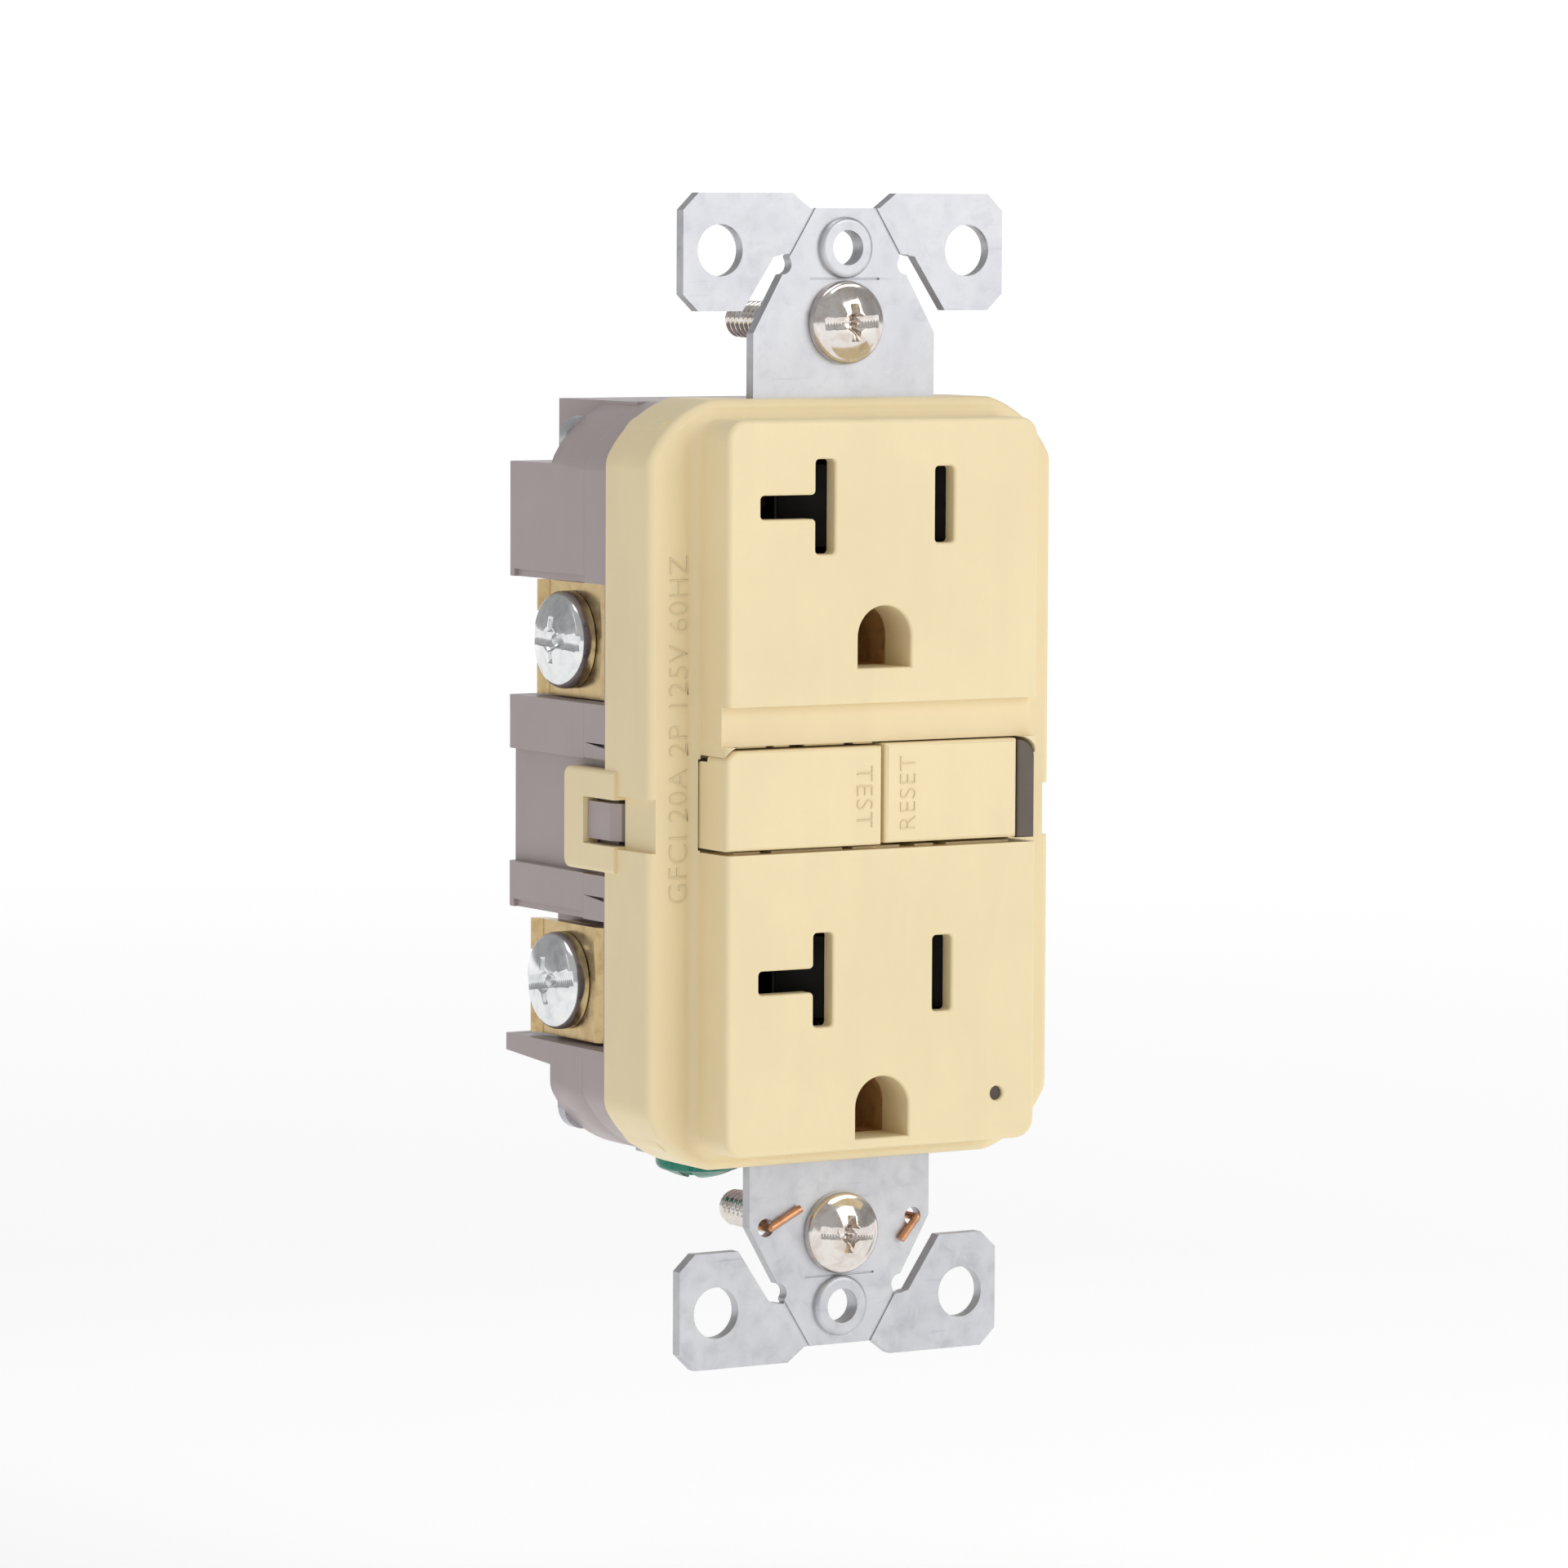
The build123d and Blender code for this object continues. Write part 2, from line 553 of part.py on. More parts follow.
def mounting_strap():
    """Zinc-plated steel strap with break-off ears, a web and a ground tab."""
    strap = box(-WEB_HALF_X, WEB_HALF_X, STRAP_Y, 0, -33.5, 33.5)
    strap += strap_end(1) + strap_end(-1)
    for z in (UPPER_GROUND_Z, LOWER_GROUND_Z):
        strap -= prism(Pos(0, z) * RectangleRounded(7.0, 7.4, 0.8), -3, 1)
    for x in (-CLIP_HOLE_X, CLIP_HOLE_X):
        strap -= round_y(x, CLIP_HOLE_Z, 0.85, -3, 1)
    tab_top = GROUND_TAB_Z + STRAP_T
    strap += box(-14, -9, STRAP_Y, 0, GROUND_TAB_Z, -33.1)
    tab = box(-14, -6, -0.1, 12, GROUND_TAB_Z, tab_top)
    strap += tab - round_z(
        GROUND_SCREW_X, GROUND_SCREW_Y, TERMINAL_SHANK_R + RUNNING_GAP, GROUND_TAB_Z - 1, tab_top + 1
    )
    return strap


def button_cap(x0, x1, z0, z1, round_corner):
    """A hollow button cap, open at the back, with soft front edges; one corner may be rounded."""
    back = BUTTON_Y + 3.6
    outline = Pos((x0 + x1) / 2, (z0 + z1) / 2) * Rectangle(x1 - x0, z1 - z0)
    if round_corner:
        corner = outline.vertices().sort_by(Axis.Y)[-2:].sort_by(Axis.X)[0]
        outline = fillet(corner, BUTTON_CORNER)
    cap = prism(outline, BUTTON_Y, back)
    cap = fillet(face_edges(cap, BUTTON_Y, -99, 99, -99, 99), 0.4)
    return cap - box(x0 + 1.3, x1 - 1.3, SPRING_SEAT_Y, back + 1, z0 + 1.2, z1 - 1.2)


def test_button():
    """Left button, wrapping round the face's left side, with its moulded stem."""
    cap = button_cap(-16.45, -0.12, -5.42, 3.55, True)
    wrap = box(-16.45, -15.15, BUTTON_Y + 2.0, FLANGE_Y - 0.05, -5.42, TEST_WRAP_TOP_Z - 0.15)
    cap += fillet(wrap.edges().filter_by(Axis.X).sort_by(Axis.Y)[-2:].sort_by(Axis.Z)[-1], TEST_WRAP_R)
    cap += round_y(TEST_X, STEM_Z, STEM_R, SPRING_SEAT_Y - 0.1, 10.0)
    return cap + round_y(TEST_X, STEM_Z, 0.5, 9.9, 10.95)


def reset_button():
    """Right button, with a socket that grips the latch pin."""
    cap = button_cap(0.25, 14.4, -5.3, 3.75, False)
    socket = round_y(RESET_X, STEM_Z, STEM_R, SPRING_SEAT_Y - 0.1, -2.0)
    socket -= round_y(RESET_X, STEM_Z, 0.8, -4.0, -1.9)
    return cap + socket


def reset_pin():
    """Steel pin from the reset button to the latch, grooved near its tip."""
    pin = round_y(RESET_X, STEM_Z, STEM_R, -1.95, 14.6)
    pin += round_y(RESET_X, STEM_Z, 0.8, -4.0, -1.9)
    pin += round_y(RESET_X, STEM_Z, 0.75, 14.5, 15.9)
    tip = Pos(RESET_X, 16.3, STEM_Z) * Rot(X=-90) * Cone(STEM_R, 0.7, 0.9)
    return pin + tip


def status_lens():
    """Smoked lens beside the reset button, with a light pipe to the board."""
    outline = Pos(15.475, -0.9) * Rectangle(1.85, 9.0)
    corner = outline.vertices().sort_by(Axis.Y)[-2:].sort_by(Axis.X)[-1]
    outline = fillet(corner, LENS_CORNER - 0.15)
    lens = prism(outline, FACE_Y + 0.25, FLANGE_Y - 0.02)
    lens = fillet(face_edges(lens, FACE_Y + 0.25, -99, 99, -99, 99), 0.2)
    return lens + box(15.0, 16.2, FLANGE_Y - 0.1, 19.2, -2.6, 0.8)


def indicator_lens():
    """Small round light pipe in the lower right corner of the face."""
    return round_y(12.35, -28.8, 0.6, FACE_Y + 0.4, 19.4)


def shutter(z):
    """Sliding tamper shutter; blades push its ramps and carry it to the right."""
    back = -2.15
    peak = FACE_BACK_Y + 0.2
    plate = box(-8.9, 11.0, back - 1.6, back, z - 5.7, z + 5.7)
    plate -= box(1.75, 3.75, back - 3, back + 1, z - 3.8, z + 3.8)
    plate -= box(-8.3, 0.3, back - 3, back + 1, z - 5.8, z - 3.9)
    for start, half in ((-8.6, 3.7), (4.2, 3.4)):
        ramp = polygon(
            (start, back - 1.5),
            (start, back - 1.7),
            (start + 4.0, peak),
            (start + 5.0, peak),
            (start + 5.0, back - 1.5),
        )
        plate += extrude(Plane.XY.offset(z - half) * ramp, amount=2 * half)
    return plate


def shutter_frame(z):
    """Retainer that closes a shutter pocket and carries the spring's post."""
    frame = box(-14.8, 14.8, -2.1, -1.25, z - 5.8, z + 5.8)
    frame -= box(-13.9, -7.0, -3, 0, z - 1.4, z + 1.4)
    frame -= box(-8.0, -4.9, -3, 0, z - 4.6, z + 4.6)
    frame -= box(4.9, 7.9, -3, 0, z - 3.8, z + 3.8)
    return frame + box(-1.0, -0.1, -3.7, -2.0, z - 5.6, z - 4.1)


def shutter_spring(z):
    """Compression spring between the shutter and the post."""
    return Pos(-8.15, -2.95, z - 4.8) * Rot(Y=90) * coil(0.5, 0.13, 7.0, 9)


def button_spring(x):
    """Return spring between a button and the flange."""
    return Pos(x, SPRING_SEAT_Y + 0.3, STEM_Z) * Rot(X=-90) * coil(1.9, 0.22, 3.3, 4)


def ground_contact(z):
    """Bronze sleeve round a ground pin, riveted to the strap by two feet."""
    back = 7.0
    sleeve = prism(ground_profile(z, SLEEVE_WALL), WELL_END_Y + 0.1, back)
    sleeve -= prism(ground_profile(z), WELL_END_Y - 1, back + 1)
    sleeve -= box(-1.2, 1.2, WELL_END_Y - 1, back + 1, z - 4, z - 2)
    for side in (-1, 1):
        sleeve += sided_box(side, GROUND_R + 0.3, 4.8, 0.05, 0.75, z - 2.2, z + 0.6)
    return sleeve


def blade_grip(side, z, with_bar):
    """Two leaves that grip a blade, joined to the bus by a bridge."""
    grip = sided_box(side, 4.95, 13.2, 1.5, 8.0, z + 4.4, z + 5.1)
    grip += sided_box(side, 4.95, 5.55, 0.6, 8.0, z - 3.3, z + 4.5)
    outer = sided_box(side, 7.15, 7.75, 0.6, 8.0, z - 3.3, z + 4.5)
    if with_bar:
        outer -= sided_box(side, 7, 8, 0, 7.0, z - 1.2, z + 1.2)
        for offset in (-1.4, 0.8):
            grip += sided_box(side, 8.1, 13.2, 0.8, 8.0, z + offset, z + offset + 0.6)
    return grip + outer


def bus(side):
    """Load bus: a spine on one side of the tray with two grips and a fixed contact."""
    part = sided_box(side, 13.1, 13.9, 1.0, 9.2, -21.5, 30.4)
    for z in (UPPER_BLADE_Z, LOWER_BLADE_Z):
        part += blade_grip(side, z, side < 0)
    part += sided_box(side, 10.4, 13.2, 7.6, 8.4, -5.2, -2.0)
    part += round_y(side * ARM_X, ARM_CONTACT_Z, 1.4, 8.3, 9.05)
    leg_low = UPPER_TERMINAL_Z - 1.8
    return part + sided_box(side, 13.1, 13.9, 9.1, 10.95, leg_low, leg_low + 3.6)


def terminal(side, z):
    """Fixed wiring terminal: a tapped plate in the bay and a tongue into the case."""
    plate = sided_box(side, 15.6, 16.6, 10.4, 21.6, z - 5.0, z + 5.0)
    plate = fillet(plate.edges().filter_by(Axis.X), 1.2)
    plate += sided_box(side, 12.8, 15.7, 11.0, 12.0, z - 2.2, z + 2.2)
    return plate - round_x(
        TERMINAL_SCREW_Y, z, TERMINAL_SHANK_R + RUNNING_GAP, side * 15, side * 17
    )


def clamp_plate(side, z, inner):
    """Brass pressure plate under a terminal screw: front edge folded in, back corners curled out."""
    outer = inner + CLAMP_T
    low = z - CLAMP_HALF_Z
    high = z + CLAMP_HALF_Z
    plate = sided_box(side, inner, outer, 9.4, CLAMP_CURL_Y, low, high)
    plate += sided_box(side, inner - 1.1, inner + 0.1, 9.4, 10.2, low, high)
    corner = plate.edges().filter_by(Axis.Z).sort_by(Axis.Y)[:2].sort_by(Axis.X)
    plate = fillet(corner[0 if side < 0 else -1], CLAMP_T - 0.1)
    curl = round_z(side * (outer + CLAMP_CURL_R), CLAMP_CURL_Y, CLAMP_CURL_R + CLAMP_T, low, high)
    curl -= round_z(side * (outer + CLAMP_CURL_R), CLAMP_CURL_Y, CLAMP_CURL_R, low - 1, high + 1)
    curl &= sided_box(side, inner, outer + CLAMP_CURL_R, CLAMP_CURL_Y, 22, low, high)
    lip = curl.faces().sort_by(Axis.X)[0 if side < 0 else -1]
    curl = fillet(lip.edges().filter_by(Axis.Z), CLAMP_T / 2 - 0.05)
    plate += curl
    plate -= sided_box(side, inner - 1, outer + 2, 19.6, 23, z - 2.4, z + 2.4)
    return plate - round_x(
        TERMINAL_SCREW_Y, z, TERMINAL_SHANK_R + RUNNING_GAP, side * (inner - 1), side * (inner + 2)
    )


def terminal_screw(side, z, seat):
    """Terminal screw with its head's underside on the clamp plate."""
    part = screw(TERMINAL_HEAD_R, TERMINAL_HEAD_H, TERMINAL_SHANK_R, TERMINAL_SHANK_L)
    return Pos(side * (seat + 0.01), TERMINAL_SCREW_Y, z) * Rot(Y=side * 90) * part


def ground_screw():
    part = screw(4.0, 2.2, TERMINAL_SHANK_R, 6.2)
    return Pos(GROUND_SCREW_X, GROUND_SCREW_Y, GROUND_TAB_Z - 0.01) * Rot(X=180) * part


def box_screw(end, tip_y):
    """Captive mounting screw through one end of the strap, relieved under its head."""
    part = screw(BOX_HEAD_R, BOX_HEAD_H, BOX_SHANK_R, tip_y - STRAP_Y)
    neck_length = -STRAP_Y
    groove = Pos(0, 0, -neck_length / 2) * Cylinder(BOX_SHANK_R + 1, neck_length)
    part -= groove - Pos(0, 0, -neck_length / 2) * Cylinder(BOX_NECK_R, neck_length + 1)
    return Pos(0, STRAP_Y - 0.01, end * BOX_SCREW_Z) * Rot(X=90) * part


def screw_retainers():
    """Push-on fibre rings that hold the box screws in the strap; the lower clears the wire clip."""
    rings = None
    for end, front in ((1, 0.05), (-1, 0.85)):
        collar = round_y(0, end * BOX_SCREW_Z, RETAINER_R, front, front + 0.8)
        collar -= round_y(0, end * BOX_SCREW_Z, BOX_SHANK_R + RUNNING_GAP, front - 1, front + 2)
        rings = collar if rings is None else rings + collar
    return rings


def ground_wire_clip():
    """Copper wire bent through two holes and passing behind the strap above the lower screw."""
    front = STRAP_Y - 0.4
    back = 0.4
    path = (
        (-4.44, front, -39.15),
        (-7.6, front, -40.75),
        (-CLIP_HOLE_X, back, CLIP_HOLE_Z),
        (-2.4, back, -38.4),
        (2.4, back, -38.4),
        (CLIP_HOLE_X, back, CLIP_HOLE_Z),
        (8.1, front, -40.8),
        (6.4, front, -42.8),
    )
    return wire(path, 0.35)


def assembly_screws():
    """Four screws from the back that hold case, separator and cover together."""
    group = None
    for sx in (-1, 1):
        for sz in (-1, 1):
            x = sx * ASSEMBLY_SCREW_X
            z = sz * ASSEMBLY_SCREW_Z
            part = round_y(x, z, ASSEMBLY_SHANK_R, 0.2, COLUMN_Y + 0.1)
            head = round_y(x, z, ASSEMBLY_HEAD_R, COLUMN_Y + 0.01, COLUMN_Y + 1.6)
            head = fillet(face_edges(head, COLUMN_Y + 1.6, -99, 99, -99, 99), 0.5)
            head -= box(x - 1.4, x + 1.4, COLUMN_Y + 0.9, COLUMN_Y + 2, z - 0.3, z + 0.3)
            head -= box(x - 0.3, x + 0.3, COLUMN_Y + 0.9, COLUMN_Y + 2, z - 1.4, z + 1.4)
            part += head
            group = part if group is None else group + part
    return group


def circuit_board():
    """Board that carries the electronics, with an ear under the status lens."""
    back = BOARD_Y + BOARD_T
    board = box(-13.4, 13.4, BOARD_Y, back, -30.0, 32.4)
    board = fillet(board.edges().filter_by(Axis.Y), 1.0)
    board += box(13.0, 16.4, BOARD_Y, back, -2.9, 1.1)
    for x, z in ((-11.8, 30.6), (11.8, 30.6), (-11.8, -28.0)):
        board -= round_y(x, z, 0.9, BOARD_Y - 1, back + 1)
    return board


def ring(radius_in, radius_out, y0, y1):
    """A ring round the sensor axis."""
    return round_y(0, 24.5, radius_out, y0, y1) - round_y(0, 24.5, radius_in, y0 - 1, y1 + 1)


def sensor_cores():
    """Two magnetic rings that sense current imbalance and a grounded neutral."""
    return ring(3.4, 5.6, 12.6, 15.4) + ring(3.4, 5.6, 16.5, 18.9)


def sensor_windings():
    """Loops of enamelled wire wound on the two rings."""
    loops = []
    for y0, y1, count in ((12.6, 15.4, 18), (16.5, 18.9, 16)):
        outer = box(3.1, 5.9, y0 - 0.3, y1 + 0.3, -0.25, 0.25)
        loop = outer - box(3.38, 5.62, y0 - 0.02, y1 + 0.02, -1, 1)
        for index in range(count):
            loops.append(Pos(0, 0, 24.5) * Rot(Y=index * 360 / count) * loop)
    return Compound(children=loops)


def coil_boat():
    """Plastic cup that holds both sensor rings on the board."""
    cup = ring(6.1, 6.7, 11.4, 20.55) + ring(2.5, 6.2, 19.9, 20.55) + ring(2.5, 2.9, 11.8, 20.0)
    for angle in (0, 90, 180, 270):
        foot_x = 7.0 * cos(radians(angle + 45))
        foot_z = 24.5 + 7.0 * sin(radians(angle + 45))
        cup += round_y(foot_x, foot_z, 0.8, 19.0, 20.55)
    return cup


def line_conductors():
    """The two line conductors that pass through both rings."""
    return round_y(-1.15, 24.5, 1.05, 10.6, BOARD_Y) + round_y(1.15, 24.5, 1.05, 10.6, BOARD_Y)


def solenoid_bobbin():
    tube = round_z(RESET_X, SOLENOID_Y, 2.0, -25.4, -11.7)
    for z in (-25.4, -12.4):
        tube += round_z(RESET_X, SOLENOID_Y, 2.8, z, z + 0.7)
    return tube - round_z(RESET_X, SOLENOID_Y, 1.55, -26, -11)


def solenoid_winding():
    winding = round_z(RESET_X, SOLENOID_Y, 2.7, -24.65, -12.45)
    return winding - round_z(RESET_X, SOLENOID_Y, 2.05, -26, -11)


def solenoid_frame():
    """Steel bracket round the trip coil."""
    x0 = RESET_X - 3.75
    x1 = RESET_X + 3.75
    frame = box(x0, x1, 14.2, 20.5, -26.5, -25.45)
    frame += box(x0, x1, 14.2, 20.5, -11.65, -10.6)
    frame += box(x0, x1, 20.15, 20.55, -26.5, -10.6)
    return frame - round_z(RESET_X, SOLENOID_Y, 1.6, -28, -9)


def plunger():
    """Steel plunger of the trip coil, with a neck for the latch plate."""
    part = round_z(RESET_X, SOLENOID_Y, 1.5, -22.0, -6.6)
    part += round_z(RESET_X, SOLENOID_Y, 0.8, -6.7, -4.9)
    return part + round_z(RESET_X, SOLENOID_Y, 1.45, -5.0, -4.2)


def plunger_spring():
    return Pos(RESET_X, SOLENOID_Y, -10.4) * coil(1.95, 0.2, 3.6, 4)


def latch_plate():
    """Latch that holds the reset pin's groove until the coil pulls it away."""
    plate = box(4.6, 10.2, LATCH_Y, LATCH_Y + 0.8, -6.3, 3.6)
    plate = fillet(plate.edges().filter_by(Axis.Y), 0.6)
    plate -= box(RESET_X - 1.4, RESET_X + 1.4, 14, 17, -2.3, 2.5)
    foot = box(5.4, 9.4, LATCH_Y, 19.0, -6.3, -5.2)
    return plate + foot - round_z(RESET_X, SOLENOID_Y, 0.9, -7, -5)


def lifter_block():
    """Insulating bar that lifts both contact arms towards the fixed contacts."""
    bar = box(-13.4, 13.4, 12.45, 14.4, -4.9, -2.3)
    bar += round_y(RESET_X, STEM_Z, 2.5, 12.45, 14.4)
    bar -= round_y(RESET_X, STEM_Z, STEM_R + 0.1, 12, 15)
    for x in (-4.5, 4.0):
        bar += box(x - 0.6, x + 0.6, 14.3, 14.9, -4.6, -2.6)
    return bar


def contact_arm(side):
    """Spring arm from a lower terminal, carrying the moving contact."""
    arm = sided_box(side, 10.8, 13.2, 12.0, 12.35, ARM_ROOT_Z, -2.6)
    arm += round_x(12.2, ARM_ROOT_Z, 0.3, side * 10.8, side * 13.2)
    return arm + round_y(side * ARM_X, ARM_CONTACT_Z, 1.15, 10.75, 12.1)


def test_contact_leaf():
    """Spring leaf that the test button bends onto the test contact."""
    leaf = box(TEST_X - 1.2, TEST_X + 1.2, 11.05, 11.35, -1.6, LEAF_ROOT_Z)
    return leaf + round_x(11.2, LEAF_ROOT_Z, 0.3, TEST_X - 1.2, TEST_X + 1.2)


def test_switch_posts():
    """Post under the leaf's root and the fixed contact under its tip."""
    root = round_y(TEST_X, LEAF_ROOT_Z, 0.6, 11.55, BOARD_Y)
    contact = round_y(TEST_X, -1.1, 0.5, 12.75, BOARD_Y)
    return root + contact


def radial_part(x, z, radius, thickness, y0, y1):
    """A disc-shaped component standing on two leads."""
    disc = round_x((y0 + y1) / 2, z, radius, x - thickness / 2, x + thickness / 2)
    disc = fillet(disc.edges(), thickness * 0.3)
    for offset in (-radius * 0.5, radius * 0.5):
        disc += round_y(x, z + offset, 0.3, y1 - radius * 0.6, BOARD_Y)
    return disc


def capacitors():
    """A boxed film capacitor, a can capacitor and two small discs."""
    film = box(-12.6, -7.6, 12.9, 20.0, -14.5, -5.5)
    film = fillet(film.edges(), 0.4)
    for z in (-13, -7):
        film += round_y(-10.1, z, 0.3, 19.9, BOARD_Y)
    can = round_y(8.5, 9.0, 2.6, 11.5, 20.2)
    can += round_y(7.7, 9.0, 0.25, 20.1, BOARD_Y) + round_y(9.3, 9.0, 0.25, 20.1, BOARD_Y)
    discs = radial_part(-3.2, -12.0, 2.2, 1.6, 14.8, 19.2) + radial_part(0.4, -12.0, 2.2, 1.6, 14.8, 19.2)
    return film + can + discs


def varistor():
    """Disc surge suppressor across the line."""
    return radial_part(-5.2, -24.6, 4.0, 3.0, 11.2, 19.2)


def control_chip():
    """Eight-leg detector chip."""
    body = box(-3.0, 3.0, 18.6, 20.2, 3.2, 12.0)
    body = fillet(body.edges().filter_by(Axis.Z), 0.2)
    for index in range(4):
        z = 3.8 + index * 2.54
        for side in (-1, 1):
            body += sided_box(side, 2.9, 3.9, 19.2, 19.5, z - 0.25, z + 0.25)
            body += sided_box(side, 3.6, 3.9, 19.2, BOARD_Y, z - 0.25, z + 0.25)
    return body


def resistors():
    """Resistors and a diode lying on the board."""
    group = None
    for x, z0, z1, radius in ((-11.5, -2.5, 3.5, 0.9), (-5.0, 2.5, 8.5, 0.8), (-0.5, -4.5, 1.5, 1.1)):
        part = round_z(x, 19.4, radius, z0, z1)
        part = fillet(part.edges().filter_by(GeomType.CIRCLE), radius * 0.4)
        lead = ((x, BOARD_Y, z0 - 1), (x, 19.4, z0 - 1), (x, 19.4, z1 + 1), (x, BOARD_Y, z1 + 1))
        part += wire(lead, 0.25)
        group = part if group is None else group + part
    return group


def status_leds():
    """Two small lamps on the board, below the light pipes."""
    group = None
    for x, z in ((15.4, -0.9), (12.35, -28.8)):
        lamp = box(x - 0.7, x + 0.7, 19.6, BOARD_Y, z - 0.7, z + 0.7)
        lamp = fillet(face_edges(lamp, 19.6, -99, 99, -99, 99), 0.3)
        group = lamp if group is None else group + lamp
    return group


def parts():
    """Every sub-part by name."""
    named = {
        "front_cover": front_cover(),
        "separator": separator(),
        "rear_housing": rear_housing(),
        "mounting_strap": mounting_strap(),
        "test_button": test_button(),
        "reset_button": reset_button(),
        "status_lens": status_lens(),
        "indicator_lens": indicator_lens(),
        "neutral_bus": bus(-1),
        "hot_bus": bus(1),
        "ground_screw": ground_screw(),
        "top_mounting_screw": box_screw(1, TOP_SCREW_END_Y),
        "bottom_mounting_screw": box_screw(-1, BOTTOM_SCREW_END_Y),
        "ground_wire_clip": ground_wire_clip(),
        "screw_retainers": screw_retainers(),
        "assembly_screws": assembly_screws(),
        "circuit_board": circuit_board(),
        "coil_boat": coil_boat(),
        "sensor_cores": sensor_cores(),
        "sensor_windings": sensor_windings(),
        "line_conductors": line_conductors(),
        "solenoid_bobbin": solenoid_bobbin(),
        "solenoid_winding": solenoid_winding(),
        "solenoid_frame": solenoid_frame(),
        "plunger": plunger(),
        "plunger_spring": plunger_spring(),
        "latch_plate": latch_plate(),
        "reset_pin": reset_pin(),
        "reset_spring": button_spring(RESET_X),
        "test_spring": button_spring(TEST_X),
        "lifter_block": lifter_block(),
        "neutral_contact_arm": contact_arm(-1),
        "hot_contact_arm": contact_arm(1),
        "test_contact_leaf": test_contact_leaf(),
        "test_switch_posts": test_switch_posts(),
        "capacitors": capacitors(),
        "varistor": varistor(),
        "control_chip": control_chip(),
        "resistors": resistors(),
        "status_leds": status_leds(),
    }
    for level, blade_z, ground_z in (
        ("upper", UPPER_BLADE_Z, UPPER_GROUND_Z),
        ("lower", LOWER_BLADE_Z, LOWER_GROUND_Z),
    ):
        named[level + "_shutter"] = shutter(blade_z)
        named[level + "_shutter_frame"] = shutter_frame(blade_z)
        named[level + "_shutter_spring"] = shutter_spring(blade_z)
        named[level + "_ground_contact"] = ground_contact(ground_z)
    for level, z, inner in (
        ("upper", UPPER_TERMINAL_Z, UPPER_CLAMP_X),
        ("lower", LOWER_TERMINAL_Z, LOWER_CLAMP_X),
    ):
        for name, side in (("neutral", -1), ("hot", 1)):
            stem = level + "_" + name
            named[stem + "_terminal"] = terminal(side, z)
            named[stem + "_clamp_plate"] = clamp_plate(side, z, inner)
            named[stem + "_terminal_screw"] = terminal_screw(side, z, inner + CLAMP_T)
    return named


os.makedirs("parts", exist_ok=True)
for name, shape in parts().items():
    export_step(shape, "parts/" + name + ".step")
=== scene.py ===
import json
import math

import bmesh
import bpy
from mathutils import Matrix, Vector


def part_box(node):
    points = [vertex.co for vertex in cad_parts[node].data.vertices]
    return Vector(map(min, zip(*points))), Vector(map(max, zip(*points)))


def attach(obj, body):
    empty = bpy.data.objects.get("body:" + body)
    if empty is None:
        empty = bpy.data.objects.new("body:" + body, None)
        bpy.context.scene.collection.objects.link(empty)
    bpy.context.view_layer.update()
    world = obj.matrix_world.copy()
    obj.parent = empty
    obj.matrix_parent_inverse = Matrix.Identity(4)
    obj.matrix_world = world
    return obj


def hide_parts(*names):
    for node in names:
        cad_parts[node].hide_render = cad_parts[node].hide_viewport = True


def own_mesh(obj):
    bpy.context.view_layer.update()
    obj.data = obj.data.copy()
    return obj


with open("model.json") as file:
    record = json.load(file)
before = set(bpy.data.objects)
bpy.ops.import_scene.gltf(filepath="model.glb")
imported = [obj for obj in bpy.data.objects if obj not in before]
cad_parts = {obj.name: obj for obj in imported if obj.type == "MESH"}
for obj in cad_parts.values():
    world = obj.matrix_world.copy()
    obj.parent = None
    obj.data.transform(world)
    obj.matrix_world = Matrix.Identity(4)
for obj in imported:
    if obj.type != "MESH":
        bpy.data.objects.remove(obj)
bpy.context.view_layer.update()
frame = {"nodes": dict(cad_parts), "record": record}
NODES = frame["nodes"]
MM = 0.001

# Lengths in metres, angles in degrees
CAMERA_LENS = 165.0
SENSOR_WIDTH = 36.0
CAMERA_PLACE = (-0.34385, -0.55765, 0.05287)
CAMERA_YAW = 31.25
CAMERA_PITCH = 4.66
CAMERA_ROLL = 0.27
FLOOR_LEVEL = -0.085
FLOOR_HALF = 6.0

# Screw sizes in millimetres
BOX_SCREW_Z = 41.65
BOX_HEAD_SEAT_Y = -1.21
TERMINAL_SCREW_Y = 15.7
UPPER_SEAT_X = 18.75
LOWER_SEAT_X = 19.35
UPPER_SCREW_Z = 12.4
LOWER_SCREW_Z = -19.0
GROUND_SCREW_PLACE = (-10.0, 7.3, -34.76)
THREAD_PITCH = 0.794
# Core and crest radii of the threads
TERMINAL_THREAD = (1.7, 2.06)
BOX_THREAD = (1.36, 1.72)
SHOULDER_STEPS = 6
CROWN_STEPS = 11


# ---------------------------------------------------------------- materials

def set_stops(ramp_node, stops):
    """Give a colour ramp its stops, each a position and a colour."""
    elements = ramp_node.color_ramp.elements
    while len(elements) < len(stops):
        elements.new(0.5)
    for element, (position, color) in zip(elements, stops):
        element.position = position
        element.color = (*color, 1.0)


